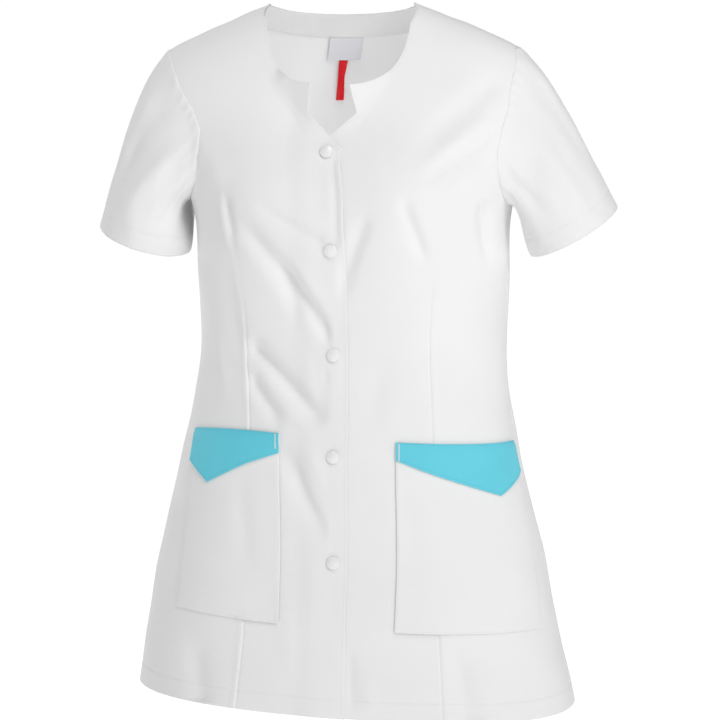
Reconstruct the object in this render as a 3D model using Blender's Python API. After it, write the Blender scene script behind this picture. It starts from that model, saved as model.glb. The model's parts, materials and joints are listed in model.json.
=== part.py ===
"""Short-sleeved medical tunic, worn by no one and filled out as if it were.

Metres, +Z up, front facing -Y. The origin is midway between the two neck points of the shoulder
seams, where shoulders hold the tunic up. Right and left are the wearer's: the wearer's left is +X.

Every panel is a wall of cloth. Its points are given in pattern coordinates: the arc along the
body's section from the centre front or centre back, and the height. Pieces sewn on a panel use
the same points, moved out.
"""

import math

import bpy
import numpy as np

# ------------------------------------------------------------------ driving sizes, in metres
WALL = 0.0014  # thickness of a cloth panel
TRIM_WALL = 0.0011  # flaps, facing, label and tape
SEAM_GAP = 0.0003  # clearance between two sewn pieces
LAP_GAP = 0.0008  # clearance between the two fronts where one laps over the other
LAYER_GAP = 0.0006  # clearance under a piece whose points fall between the panel's own

HEM_Z = -0.733
UNDERARM_Z = -0.207
SHOULDER_TIP_Z = -0.046
LAP = 0.0145  # each front runs this far past the centre line
LAP_TOP_Z = -0.1455  # upper corner of the lapped edge
NOTCH = (0.0250, -0.1110)  # widest point of the neck notch: distance from centre, height
TAB = (0.0195, -0.0855)  # corner of the tab over the notch
NECK_HALF_WIDTH = 0.0755
SCOOP_DEPTH = 0.0865
SCOOP_SQUARENESS = 2.6
BACK_NECK_DEPTH = 0.0130
BACK_NECK_SQUARENESS = 2.15

# Each armhole edge: how far it reaches from the seam line, and how much farther low down than
# high up. The fronts are keyed by side, 1 for the wearer's left.
FRONT_ARMHOLES = {1: (0.053, 0.22), -1: (0.068, 0.33)}
BACK_ARMHOLE = (0.055, 0.25)
ARMHOLE_ROUNDNESS = 0.75

BUST_HEIGHT = 0.014
BUST_ACROSS = 0.085
BUST_Z = -0.215
BUST_SPREAD_ACROSS = 0.050
BUST_SPREAD_Z = 0.058

# The body's horizontal sections. lean shifts a section sideways, turn twists it about the
# vertical and tilt lifts its wearer's-left side.
SECTION_COLUMNS = ("z", "half_width", "front", "back", "squareness", "lean", "turn_deg", "tilt")
SECTIONS = (
    (-0.740, 0.2385, 0.124, 0.121, 2.30, 0.0135, -6.0, -0.015),
    (-0.700, 0.2315, 0.123, 0.121, 2.30, 0.0125, -6.0, -0.020),
    (-0.660, 0.2230, 0.122, 0.119, 2.30, 0.0115, -6.0, -0.030),
    (-0.615, 0.2145, 0.121, 0.117, 2.30, 0.0110, -6.0, -0.036),
    (-0.570, 0.2050, 0.119, 0.114, 2.30, 0.0115, -6.0, -0.041),
    (-0.525, 0.1940, 0.116, 0.110, 2.30, 0.0112, -6.0, -0.045),
    (-0.480, 0.1830, 0.113, 0.106, 2.30, 0.0105, -6.0, -0.047),
    (-0.440, 0.1740, 0.110, 0.101, 2.30, 0.0112, -6.0, -0.045),
    (-0.400, 0.1665, 0.107, 0.095, 2.30, 0.0118, -6.0, -0.038),
    (-0.360, 0.1630, 0.104, 0.091, 2.30, 0.0123, -6.0, -0.030),
    (-0.320, 0.1640, 0.104, 0.093, 2.30, 0.0120, -6.0, -0.020),
    (-0.280, 0.1650, 0.107, 0.098, 2.30, 0.0115, -6.0, -0.010),
    (-0.240, 0.1650, 0.110, 0.104, 2.30, 0.0112, -6.0, -0.004),
    (-0.207, 0.1690, 0.109, 0.108, 2.30, 0.0100, -5.8, 0.000),
    (-0.185, 0.1770, 0.105, 0.109, 2.32, 0.0090, -5.4, 0.003),
    (-0.160, 0.1885, 0.098, 0.109, 2.35, 0.0070, -4.5, 0.006),
    (-0.130, 0.2000, 0.087, 0.106, 2.36, 0.0050, -3.0, 0.009),
    (-0.100, 0.2070, 0.077, 0.100, 2.40, 0.0032, -1.5, 0.011),
    (-0.075, 0.2065, 0.068, 0.093, 2.30, 0.0018, -0.5, 0.012),
    (-0.058, 0.1990, 0.060, 0.086, 2.24, 0.0010, 0.0, 0.012),
    (-0.046, 0.1860, 0.054, 0.080, 2.20, 0.0006, 0.0, 0.012),
    (-0.034, 0.1580, 0.048, 0.073, 2.15, 0.0003, 0.0, 0.012),
    (-0.022, 0.1285, 0.042, 0.066, 2.10, 0.0000, 0.0, 0.012),
    (-0.010, 0.0990, 0.035, 0.058, 2.05, 0.0000, 0.0, 0.012),
    (0.000, 0.0755, 0.029, 0.050, 2.00, 0.0000, 0.0, 0.012),
)
SECTION_TABLE = dict(zip(SECTION_COLUMNS, np.array(SECTIONS).T))

SECTION_SOFTNESS = 0.011  # heights are averaged twice this far up and down

ARC_STEPS = 97


# ------------------------------------------------------------------ curves
def smooth_curve(knots, values, at):
    """Smooth curve through the knots, in cubic pieces whose slopes never overshoot."""
    knots, values, at = np.asarray(knots), np.asarray(values), np.asarray(at, float)
    step = np.diff(knots)
    rise = np.diff(values) / step
    before, after = rise[:-1], rise[1:]
    same_way = before * after > 0
    total = np.where(same_way, before + after, 1.0)
    inner = np.where(same_way, 2.0 * before * after / total, 0.0)
    slope = np.concatenate([rise[:1], inner, rise[-1:]])
    piece = np.clip(np.searchsorted(knots, at) - 1, 0, len(step) - 1)
    width = step[piece]
    t = (at - knots[piece]) / width
    return (
        values[piece] * (1 + 2 * t) * (1 - t) ** 2
        + values[piece + 1] * t * t * (3 - 2 * t)
        + width * slope[piece] * t * (1 - t) ** 2
        + width * slope[piece + 1] * t * t * (t - 1)
    )


def smooth_step(low, high, at):
    """0 below low, 1 above high, and a soft rise between."""
    t = np.clip((np.asarray(at, float) - low) / (high - low), 0.0, 1.0)
    return t * t * (3 - 2 * t)


def section(name, z):
    """One column of the section table at these heights, averaged over a short way up and down."""
    z = np.asarray(z, float)
    step = np.clip(np.minimum(-z, z - SECTIONS[0][0]) / 2, 0.0, SECTION_SOFTNESS)
    total = 0.0
    for place, weight in zip((-2, -1, 0, 1, 2), (1, 4, 6, 4, 1)):
        total = total + weight / 16 * smooth_curve(
            SECTION_TABLE["z"], SECTION_TABLE[name], z + place * step
        )
    return total


def unit(vectors):
    """Vectors scaled to length one."""
    return vectors / np.linalg.norm(vectors, axis=-1, keepdims=True)


# ------------------------------------------------------------------ the body's plain form
def bust(across, z):
    """How far the bust line carries the front forward."""
    height = np.exp(-(((z - BUST_Z) / BUST_SPREAD_Z) ** 2) / 2)
    left = np.exp(-(((across - BUST_ACROSS) / BUST_SPREAD_ACROSS) ** 2) / 2)
    right = np.exp(-(((across + BUST_ACROSS) / BUST_SPREAD_ACROSS) ** 2) / 2)
    return BUST_HEIGHT * height * (left + right)


def body_point(angle, z):
    """Point of the form: angle from the centre front, positive to the wearer's left, and height."""
    angle, z = np.broadcast_arrays(np.asarray(angle, float), np.asarray(z, float))
    sine, cosine = np.sin(angle), np.cos(angle)
    power = section("squareness", z)
    depth = np.where(cosine >= 0, section("front", z), section("back", z))
    reach = (np.abs(sine) / section("half_width", z)) ** power + (np.abs(cosine) / depth) ** power
    radius = reach ** (-1 / power)
    across = radius * sine
    along = -radius * cosine - bust(across, z) * smooth_step(0.0, 0.35, cosine)
    turn = np.radians(section("turn_deg", z))
    return np.stack(
        [
            section("lean", z) + across * np.cos(turn) - along * np.sin(turn),
            across * np.sin(turn) + along * np.cos(turn),
            z + section("tilt", z) * across,
        ],
        axis=-1,
    )


def body_normal(angle, z):
    """Outward direction of the form."""
    small = 2e-4
    round_way = body_point(angle + small, z) - body_point(angle - small, z)
    up_way = body_point(angle, z + small) - body_point(angle, z - small)
    return unit(np.cross(round_way, up_way))


def quarter_arcs(z, side):
    """Arc run from the centre line at ARC_STEPS even angles up to the side seam, for each height."""
    angles = np.linspace(0.0, math.pi / 2, ARC_STEPS)
    z = np.asarray(z, float)[..., None]
    power = section("squareness", z)
    reach = (np.sin(angles) / section("half_width", z)) ** power
    reach = reach + (np.cos(angles) / section(side, z)) ** power
    radius = reach ** (-1 / power)
    chord = np.hypot(np.diff(radius * np.sin(angles)), np.diff(radius * np.cos(angles)))
    return np.concatenate([np.zeros_like(z), np.cumsum(chord, axis=-1)], axis=-1)


def seam_arc(z, side):
    """Arc from the centre line to the side or shoulder seam."""
    return quarter_arcs(z, side)[..., -1]


def angle_at_arc(arc, z, side):
    """Angle from the centre line at which a section has run this arc; negative past that line."""
    arc, z = np.broadcast_arrays(np.asarray(arc, float), np.asarray(z, float))
    table = quarter_arcs(z, side)
    run = np.minimum(np.abs(arc), table[..., -1])
    piece = np.clip((table <= run[..., None]).sum(axis=-1) - 1, 0, ARC_STEPS - 2)
    low = np.take_along_axis(table, piece[..., None], axis=-1)[..., 0]
    high = np.take_along_axis(table, piece[..., None] + 1, axis=-1)[..., 0]
    return np.sign(arc) * (piece + (run - low) / (high - low)) * (math.pi / 2) / (ARC_STEPS - 1)


def arc_at_across(across, z, side):
    """Arc at which a section reaches this distance sideways from its centre line."""
    across, z = np.broadcast_arrays(np.asarray(across, float), np.asarray(z, float))
    power, half = section("squareness", z), section("half_width", z)
    share = np.clip(np.abs(across) / half, 0.0, 1.0)
    forward = section(side, z) * (1 - share**power) ** (1 / power)
    return arc_at_point(across, forward, z, side)


def arc_at_depth(forward, z, side):
    """Arc at which a section has come back to this distance from the seam line."""
    forward, z = np.broadcast_arrays(np.asarray(forward, float), np.asarray(z, float))
    power = section("squareness", z)
    share = np.clip(forward / section(side, z), 0.0, 1.0)
    across = section("half_width", z) * (1 - share**power) ** (1 / power)
    return arc_at_point(across, forward, z, side)


def arc_at_point(across, forward, z, side):
    """Arc of a point of the section, given its two distances."""
    place = np.arctan2(np.abs(across), forward) / (math.pi / 2) * (ARC_STEPS - 1)
    piece = np.clip(place.astype(int), 0, ARC_STEPS - 2)
    table = quarter_arcs(z, side)
    low = np.take_along_axis(table, piece[..., None], axis=-1)[..., 0]
    high = np.take_along_axis(table, piece[..., None] + 1, axis=-1)[..., 0]
    return np.sign(across) * (low + (place - piece) * (high - low))


# ------------------------------------------------------------------ creases in the cloth
# Each crease runs between two points of a panel, given as (arc, height), with a soft round
# profile of this half width. A negative height is a trough. It fades in over the share `rise`
# of its length and out over the share `fall`.
CREASE_COLUMNS = (
    "from_arc", "from_z", "to_arc", "to_z", "half_width", "height", "rise", "fall"
)  # fmt: skip
FRONT_CREASES = (
    (-0.0860, -0.1950, -0.0080, -0.3380, 0.0110, -0.0060, 0.35, 0.25),
    (-0.0650, -0.2050, -0.0100, -0.2430, 0.0100, -0.0028, 0.40, 0.30),
    (-0.0860, -0.3450, -0.0090, -0.4480, 0.0110, -0.0065, 0.30, 0.25),
    (-0.0870, -0.3750, -0.0260, -0.4480, 0.0110, 0.0045, 0.35, 0.35),
    (-0.0560, -0.4450, -0.0040, -0.5530, 0.0110, -0.0040, 0.30, 0.30),
    (-0.1600, -0.1400, -0.1060, -0.1850, 0.0120, 0.0035, 0.35, 0.45),
    (0.0420, -0.2200, 0.0240, -0.3050, 0.0110, -0.0038, 0.40, 0.40),
    (0.0820, -0.1900, 0.1120, -0.2450, 0.0105, -0.0035, 0.40, 0.40),
    (0.1690, -0.0800, 0.0760, -0.1620, 0.0105, -0.0040, 0.30, 0.45),
    (0.1720, -0.1080, 0.0840, -0.1720, 0.0100, 0.0030, 0.35, 0.45),
    (0.1730, -0.1440, 0.1020, -0.1780, 0.0100, -0.0035, 0.30, 0.40),
    (0.1350, -0.6500, 0.1480, -0.7330, 0.0140, -0.0040, 0.50, 0.05),
    (-0.1560, -0.6600, -0.1450, -0.7330, 0.0140, -0.0035, 0.50, 0.05),
)
BACK_CREASES = (
    (0.1000, -0.2200, 0.0350, -0.3500, 0.0120, -0.0045, 0.40, 0.35),
    (-0.0980, -0.2350, -0.0420, -0.3400, 0.0120, -0.0040, 0.40, 0.35),
    (0.0900, -0.3750, 0.0300, -0.4700, 0.0125, -0.0045, 0.35, 0.40),
    (-0.0840, -0.3650, -0.0300, -0.4450, 0.0125, -0.0040, 0.35, 0.40),
    (0.0150, -0.3300, -0.0060, -0.4150, 0.0110, 0.0035, 0.40, 0.40),
    (0.1450, -0.1000, 0.0900, -0.1900, 0.0115, -0.0038, 0.30, 0.45),
    (-0.1480, -0.1050, -0.0880, -0.1850, 0.0115, -0.0036, 0.30, 0.45),
    (0.1250, -0.5800, 0.1450, -0.7330, 0.0160, -0.0050, 0.50, 0.05),
    (-0.1150, -0.5950, -0.1350, -0.7330, 0.0160, -0.0045, 0.50, 0.05),
    (0.0150, -0.6200, 0.0200, -0.7330, 0.0150, -0.0030, 0.50, 0.05),
)
CREASE_FREE_LAP = (0.012, 0.030)  # creases fade out between these distances from the centre


def crease_height(creases, arc, z):
    """Sum of the creases at these points."""
    total = np.zeros(np.broadcast(arc, z).shape)
    for row in creases:
        crease = dict(zip(CREASE_COLUMNS, row))
        run = np.array([crease["to_arc"] - crease["from_arc"], crease["to_z"] - crease["from_z"]])
        length = np.linalg.norm(run)
        away = (arc - crease["from_arc"], z - crease["from_z"])
        share = (away[0] * run[0] + away[1] * run[1]) / length**2
        across = (away[0] * run[1] - away[1] * run[0]) / length
        ends = smooth_step(0.0, crease["rise"], share)
        ends = ends * (1 - smooth_step(1 - crease["fall"], 1.0, share))
        total = total + crease["height"] * ends * np.exp(-((across / crease["half_width"]) ** 2))
    return total


# ------------------------------------------------------------------ the two fronts
# Where the front's inner line strays from the form's centre, and how much its columns spread
# toward the wearer's left with distance from it.
CENTRE_COLUMNS = ("z", "stray", "spread")
CENTRE = (
    (-0.733, 0.0020, 0.050),
    (-0.640, 0.0045, 0.075),
    (-0.570, 0.0060, 0.070),
    (-0.460, 0.0050, 0.050),
    (-0.400, 0.0035, 0.025),
    (-0.355, 0.0025, 0.000),
    (-0.250, 0.0030, 0.000),
    (-0.200, 0.0020, 0.000),
    (-0.148, -0.0036, 0.000),
    (-0.110, -0.0010, 0.000),
    (-0.088, -0.0030, 0.000),
    (-0.060, 0.0000, 0.000),
    (0.000, 0.0000, 0.000),
)
CENTRE_TABLE = dict(zip(CENTRE_COLUMNS, np.array(CENTRE).T))

# The long dart, as (height, distance from the centre line), up to its point over the bust.
DART = ((-0.733, 0.1115), (-0.640, 0.1040), (-0.440, 0.0980), (-0.326, 0.0990), (-0.280, 0.1037),
        (-0.240, 0.1095), (UNDERARM_Z, 0.1150))  # fmt: skip
POCKET_TOP_Z = -0.441
POCKET_BOTTOM_Z = -0.6375
POCKET_INNER = 0.0615
# The pocket's outer edge for each side, as (height, distance from the centre line); above it the
# same line only spaces the panel's columns.
POCKET_OUTER = {
    1: ((HEM_Z, 0.2200), (POCKET_BOTTOM_Z, 0.2150), (POCKET_TOP_Z, 0.2060), (-0.360, 0.1880),
        (UNDERARM_Z, 0.1900)),
    -1: ((HEM_Z, 0.2080), (POCKET_BOTTOM_Z, 0.1980), (POCKET_TOP_Z, 0.1780), (-0.360, 0.1680),
         (UNDERARM_Z, 0.1800)),
}  # fmt: skip
POCKET_DROOP = {1: 0.004, -1: 0.010}  # how far the pocket's top hangs lower at the side

LAP_COLUMNS = 3
POCKET_COLUMNS = 8
DART_COLUMNS = 3  # from the pocket's inner edge to the dart
INNER_COLUMNS = 4  # from the lap to the pocket
SIDE_COLUMNS = 2
HEM_ROWS = 4
POCKET_ROWS = 8
WAIST_ROWS = 10
NECK_ROWS = (5, 4, 3)  # up the lap, up the notch's lower side and up to the tab
SCOOP_COLUMNS = 9
RELAXED_ROUNDS = 100
DART_COLUMN = LAP_COLUMNS + INNER_COLUMNS + DART_COLUMNS
POCKET_FIRST = LAP_COLUMNS + INNER_COLUMNS
POCKET_LAST = DART_COLUMN + POCKET_COLUMNS
FRONT_COLUMNS = POCKET_LAST + SIDE_COLUMNS
POCKET_TOP_ROW = HEM_ROWS + POCKET_ROWS
UNDERARM_ROW = POCKET_TOP_ROW + WAIST_ROWS
RELAXED_ROW = UNDERARM_ROW - 6


def steps(*stations_and_counts):
    """Even steps through the stations: steps(a, 3, b, 2, c) has three steps to b and two to c."""
    stations = stations_and_counts[0::2]
    counts = stations_and_counts[1::2]
    parts = [
        np.linspace(low, high, count, endpoint=False)
        for low, high, count in zip(stations, stations[1:], counts)
    ]
    return np.concatenate([*parts, stations[-1:]])


def line_at(line, z):
    """Smooth curve through (height, distance) pairs."""
    heights, distances = np.array(line).T
    return smooth_curve(heights, distances, z)


def armhole(side, share, reach, egg):
    """Edge of a panel round the arm, from the underarm (0) to the shoulder tip (1): arc, height."""
    middle = (UNDERARM_Z + SHOULDER_TIP_Z) / 2
    half_height = (SHOULDER_TIP_Z - UNDERARM_Z) / 2
    sine = np.clip(np.sin(math.pi * share), 0.0, 1.0)
    cosine = np.cos(math.pi * share)
    z = middle - half_height * cosine
    forward = reach * sine**ARMHOLE_ROUNDNESS * (1 + egg * cosine)
    arc = np.where(sine < 1e-6, seam_arc(z, side), arc_at_depth(forward, z, side))
    return np.minimum(arc, seam_arc(z, side) - SEAM_GAP / 2), z


def shoulder_line(side, z):
    """Arc of the shoulder seam at these heights, less half the seam's clearance."""
    return seam_arc(z, side) - SEAM_GAP / 2


def scoop(share, depth, squareness, side, start=0.0):
    """Curved neck edge, from near the centre line (0) to the neck point (1): arc, height."""
    angle = start + (math.pi / 2 - start) * share
    across = NECK_HALF_WIDTH * np.sin(angle) ** (2 / squareness)
    z = -depth * np.clip(np.cos(angle), 0.0, 1.0) ** (2 / squareness)
    arc = np.where(share >= 1.0, seam_arc(z, side), arc_at_across(across, z, side))
    return np.minimum(arc, seam_arc(z, side) - SEAM_GAP / 2), z


def coons(bottom, top, left, right, row_shares):
    """Grid inside four edges of points: the two ruled sheets' sum less the corners' sheet."""
    u = np.linspace(0, 1, len(bottom))[None, :, None]
    v = np.asarray(row_shares)[:, None, None]
    ruled_up = (1 - v) * bottom[None] + v * top[None]
    ruled_across = (1 - u) * left[:, None] + u * right[:, None]
    corners = (1 - v) * ((1 - u) * bottom[0] + u * bottom[-1])
    corners = corners + v * ((1 - u) * top[0] + u * top[-1])
    return ruled_up + ruled_across - corners


def relaxed(grid, rounds):
    """The grid with its inner points evened out, its edges kept, so that no cell folds over."""
    grid = grid.copy()
    for _ in range(rounds):
        across = (grid[1:-1, 2:] - grid[1:-1, :-2]) / 2
        up = (grid[2:, 1:-1] - grid[:-2, 1:-1]) / 2
        skew = (grid[2:, 2:] - grid[2:, :-2] - grid[:-2, 2:] + grid[:-2, :-2]) / 4
        pull_across = (up**2).sum(axis=-1, keepdims=True)
        pull_up = (across**2).sum(axis=-1, keepdims=True)
        lean = (across * up).sum(axis=-1, keepdims=True)
        total = pull_across * (grid[1:-1, 2:] + grid[1:-1, :-2])
        total = total + pull_up * (grid[2:, 1:-1] + grid[:-2, 1:-1]) - 2 * lean * skew
        grid[1:-1, 1:-1] = total / (2 * (pull_across + pull_up))
    return grid


def front_columns(side, z):
    """Distances from the centre line of a front's columns at one height."""
    return steps(
        -LAP, LAP_COLUMNS, LAP, INNER_COLUMNS, POCKET_INNER, DART_COLUMNS, float(line_at(DART, z)),
        POCKET_COLUMNS, float(line_at(POCKET_OUTER[side], z)), SIDE_COLUMNS,
        float(seam_arc(z, "front")) - SEAM_GAP / 2,
    )  # fmt: skip


def front_grid(side):
    """Pattern coordinates of a front, as a grid of (distance from the centre line, height)."""
    heights = steps(
        HEM_Z, HEM_ROWS, POCKET_BOTTOM_Z, POCKET_ROWS, POCKET_TOP_Z, WAIST_ROWS, UNDERARM_Z
    )
    droop = smooth_step(POCKET_BOTTOM_Z, POCKET_TOP_Z, heights)
    droop = droop * (1 - smooth_step(POCKET_TOP_Z, -0.34, heights)) * POCKET_DROOP[side]
    columns = np.arange(FRONT_COLUMNS + 1)
    outward = np.maximum(columns - POCKET_FIRST, 0) / (POCKET_LAST - POCKET_FIRST)
    skirt_z = heights[:, None] - droop[:, None] * np.minimum(outward, 1.2) ** 2
    skirt = np.array(
        [[(front_columns(side, z)[column], z) for column, z in enumerate(row)] for row in skirt_z]
    )

    lap_rows, notch_rows, tab_rows = NECK_ROWS
    lap_z = steps(UNDERARM_Z, lap_rows, LAP_TOP_Z, notch_rows, NOTCH[1], tab_rows, TAB[1])
    corners = ([UNDERARM_Z, LAP_TOP_Z, NOTCH[1], TAB[1]], [-LAP, -LAP, NOTCH[0], TAB[0]])
    left = np.stack([np.interp(lap_z, *corners), lap_z], axis=-1)
    row_shares = np.linspace(0, 1, len(lap_z))
    right = np.stack(armhole("front", row_shares, *FRONT_ARMHOLES[side]), axis=-1)
    tab_angle = math.asin((TAB[0] / NECK_HALF_WIDTH) ** (SCOOP_SQUARENESS / 2))
    shares = np.linspace(0, 1, SCOOP_COLUMNS + 1)
    neck = np.stack(scoop(shares, SCOOP_DEPTH, SCOOP_SQUARENESS, "front", tab_angle), axis=-1)
    neck[0] = TAB
    shoulder_z = np.linspace(0.0, SHOULDER_TIP_Z, FRONT_COLUMNS - SCOOP_COLUMNS + 1)
    shoulder = np.stack([shoulder_line("front", shoulder_z), shoulder_z], axis=-1)
    top = np.concatenate([neck, shoulder[1:]])
    chest = coons(skirt[-1], top, left, right, row_shares)
    grid = np.concatenate([skirt, chest[1:]])
    grid[RELAXED_ROW:] = relaxed(grid[RELAXED_ROW:], RELAXED_ROUNDS)
    return grid


def strayed(side, distance, z):
    """Signed arc from the form's centre front of a point at this distance on its own side."""
    share = np.abs(distance) / seam_arc(z, "front")
    fade = 1 - smooth_step(0.8, 1.0, share)
    stray = smooth_curve(CENTRE_TABLE["z"], CENTRE_TABLE["stray"], z)
    spread = smooth_curve(CENTRE_TABLE["z"], CENTRE_TABLE["spread"], z)
    return side * distance + (stray + spread * np.maximum(distance, 0.0)) * fade


def front_lift(side, distance):
    """How far the right front stands over the form, where it laps over the left one."""
    if side > 0:
        return np.zeros_like(distance)
    return (WALL + LAP_GAP) * (1 - smooth_step(0.020, 0.045, distance))


def on_front(side, pattern, offset=0.0):
    """Points of a front's outer face moved out by `offset`, and the directions of its wall."""
    distance, z = pattern[..., 0], pattern[..., 1]
    arc = strayed(side, distance, z)
    angle = angle_at_arc(arc, z, "front")
    free = smooth_step(*CREASE_FREE_LAP, np.abs(distance))
    out = crease_height(FRONT_CREASES, arc, z) * free + front_lift(side, distance) + offset
    normal = body_normal(angle, z)
    return body_point(angle, z) + normal * out[..., None], normal


# ------------------------------------------------------------------ the back
BACK_HALF_COLUMNS = 13
NECK_HALF_COLUMNS = 5  # of those, the ones under the back neck
BACK_ROW_SHARES = (0.0, 0.11, 0.22, 0.33, 0.44, 0.55, 0.67, 0.79, 0.895, 1.0)
FACING_ROWS = 2
BACK_SKIRT_ROWS = 20


def back_grid():
    """Pattern coordinates of the back: (arc from the centre back, height), left to right."""
    heights = np.linspace(HEM_Z, UNDERARM_Z, BACK_SKIRT_ROWS + 1)
    share = np.linspace(-1, 1, 2 * BACK_HALF_COLUMNS + 1)
    skirt = np.array([[(u * float(shoulder_line("back", z)), z) for u in share] for z in heights])
    rows = np.array(BACK_ROW_SHARES)
    edge = np.stack(armhole("back", rows, *BACK_ARMHOLE), axis=-1)
    neck = np.stack(
        scoop(np.linspace(0, 1, NECK_HALF_COLUMNS + 1), BACK_NECK_DEPTH,
              BACK_NECK_SQUARENESS, "back"), axis=-1,
    )  # fmt: skip
    shoulder_z = np.linspace(0.0, SHOULDER_TIP_Z, BACK_HALF_COLUMNS - NECK_HALF_COLUMNS + 1)
    shoulder = np.stack([shoulder_line("back", shoulder_z), shoulder_z], axis=-1)
    half_top = np.concatenate([neck, shoulder[1:]])
    mirror = np.array([-1.0, 1.0])
    top = np.concatenate([half_top[::-1] * mirror, half_top[1:]])
    chest = coons(skirt[-1], top, edge * mirror, edge, rows)
    return np.concatenate([skirt, chest[1:]])


def on_back(pattern, offset=0.0):
    """Points of the back's outer face moved out by `offset`, and the directions of its wall."""
    arc, z = pattern[..., 0], pattern[..., 1]
    angle = math.pi + angle_at_arc(arc, z, "back")
    out = crease_height(BACK_CREASES, arc, z) + offset
    normal = body_normal(angle, z)
    return body_point(angle, z) + normal * out[..., None], normal


# ------------------------------------------------------------------ pieces that lie on the panels
FLAP_TIP_COLUMN = 8  # counted from the flap's inner edge
FLAP_ROWS = 3
# How far each flap reaches down at its inner edge, at its tip and at the side.
FLAP_DROPS = {1: (0.0180, 0.0530, 0.0310), -1: (0.0200, 0.0560, 0.0340)}

LABEL_ARC = (-0.0132, 0.0224)
LABEL_SLANT = 0.0050  # how far its lower edge hangs toward the wearer's right
LABEL_DEPTH = 0.0240
LABEL_COLUMNS = 4
# The tape's centre line, as (depth under the label, arc), and its half width there.
TAPE = ((0.0437, 0.0211, 0.0044), (0.0330, 0.0184, 0.0038), (0.0200, 0.0156, 0.0034),
        (0.0080, 0.0123, 0.0042), (0.0, 0.0102, 0.0048))  # fmt: skip
INSIDE_GAP = 0.0010  # clearance between the back's inner face and the label or tape

SNAP_HEIGHTS = (-0.1490, -0.2470, -0.3555, -0.4600, -0.5690)
SNAP_RADIUS = 0.00675
SNAP_SEGMENTS = 24
# A snap cap's profile, as shares of its radius and heights above its seat.
SNAP_PROFILE = ((0.86, 0.0), (1.0, 0.0007), (0.97, 0.0014), (0.86, 0.0021), (0.62, 0.0027), (0.30, 0.0030))  # fmt: skip
SNAP_TOP = 0.0031


def flap_grid(side, grid):
    """Pattern coordinates of a pocket flap, from its lower edge up to the pocket's top."""
    top = grid[POCKET_TOP_ROW, POCKET_FIRST : POCKET_LAST + 1]
    columns = np.arange(len(top))
    drop = np.interp(columns, (0, FLAP_TIP_COLUMN, len(top) - 1), FLAP_DROPS[side])
    below = grid[POCKET_TOP_ROW - 3, POCKET_FIRST : POCKET_LAST + 1]
    share = drop / (top[:, 1] - below[:, 1])
    low = top + (below - top) * share[:, None]
    rows = np.linspace(0, 1, FLAP_ROWS + 1)[:, None, None]
    return (1 - rows) * low + rows * top


def label_grid(grid):
    """Pattern coordinates of the neck label, hung from the facing's lower edge."""
    facing_low = grid[-1 - FACING_ROWS]
    arcs = np.linspace(*LABEL_ARC, LABEL_COLUMNS + 1)
    top = np.stack([arcs, np.interp(arcs, *facing_low.T) - SEAM_GAP], axis=-1)
    return top[None] + np.linspace(1, 0, 3)[:, None, None] * np.array([LABEL_SLANT, -LABEL_DEPTH])


def tape_grid(label):
    """Pattern coordinates of the tape, hung from the label's lower edge."""
    top = label[0, :, 1].min() - SEAM_GAP
    share = np.linspace(-1, 1, 3)
    return np.array([[(arc + half * u, top - depth) for u in share] for depth, arc, half in TAPE])


def neck_part(grid):
    """The columns of the back under the back neck."""
    middle = BACK_HALF_COLUMNS
    return grid[:, middle - NECK_HALF_COLUMNS : middle + NECK_HALF_COLUMNS + 1]


def snap_points(z):
    """Rings of a snap cap's points, its seat's centre first and its top last."""
    seat, normal = on_front(-1, np.array([0.0, z]), LAYER_GAP)
    across = unit(np.cross([0.0, 0.0, 1.0], normal))
    up = np.cross(normal, across)
    turn = np.linspace(0, 2 * math.pi, SNAP_SEGMENTS, endpoint=False)[:, None]
    rim = (np.cos(turn) * across + np.sin(turn) * up) * SNAP_RADIUS
    rings = [seat + rim * share + normal * height for share, height in SNAP_PROFILE]
    return seat, rings, seat + normal * SNAP_TOP


# ------------------------------------------------------------------ sleeves
# The cuff's ellipse for each side: its centre, its half width from the torso outward, its half
# width front to back, and the angles by which it hangs outward and dips at the front.
CUFF_COLUMNS = ("x", "y", "z", "half_across", "half_deep", "hang_deg", "dip_deg")
CUFFS = {
    1: (0.2435, -0.0050, -0.2345, 0.0515, 0.0600, 28.4, 8.0),
    -1: (-0.2090, -0.0080, -0.2460, 0.0500, 0.0600, 17.0, 8.0),
}
SLEEVE_ROWS = 9
TIP_REACH = 0.20  # handle lengths as shares of the way from armhole to cuff
SIDE_REACH = 0.33
CUFF_REACH = 0.36
UNDERARM_REACH = 0.013
UNDERARM_POWER = 7.0
# Creases of the sleeves: share round from the underarm through the front, share down from the
# armhole, half widths the same two ways, slope between them, and height.
SLEEVE_CREASE_COLUMNS = ("round", "down", "half_round", "half_down", "slope", "height")
SLEEVE_CREASES = {
    1: (
        (0.200, 0.45, 0.035, 0.40, 0.10, -0.0040),
        (0.310, 0.50, 0.030, 0.35, 0.08, 0.0030),
        (0.420, 0.40, 0.028, 0.30, 0.05, -0.0025),
        (0.800, 0.50, 0.035, 0.40, -0.08, -0.0040),
        (0.670, 0.45, 0.030, 0.35, -0.05, 0.0028),
    ),
    -1: (
        (0.180, 0.50, 0.035, 0.40, 0.09, -0.0040),
        (0.300, 0.45, 0.032, 0.38, 0.10, 0.0032),
        (0.390, 0.55, 0.028, 0.30, 0.04, -0.0028),
        (0.820, 0.45, 0.035, 0.40, -0.07, -0.0038),
        (0.690, 0.50, 0.030, 0.34, -0.06, 0.0026),
    ),
}


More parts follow.
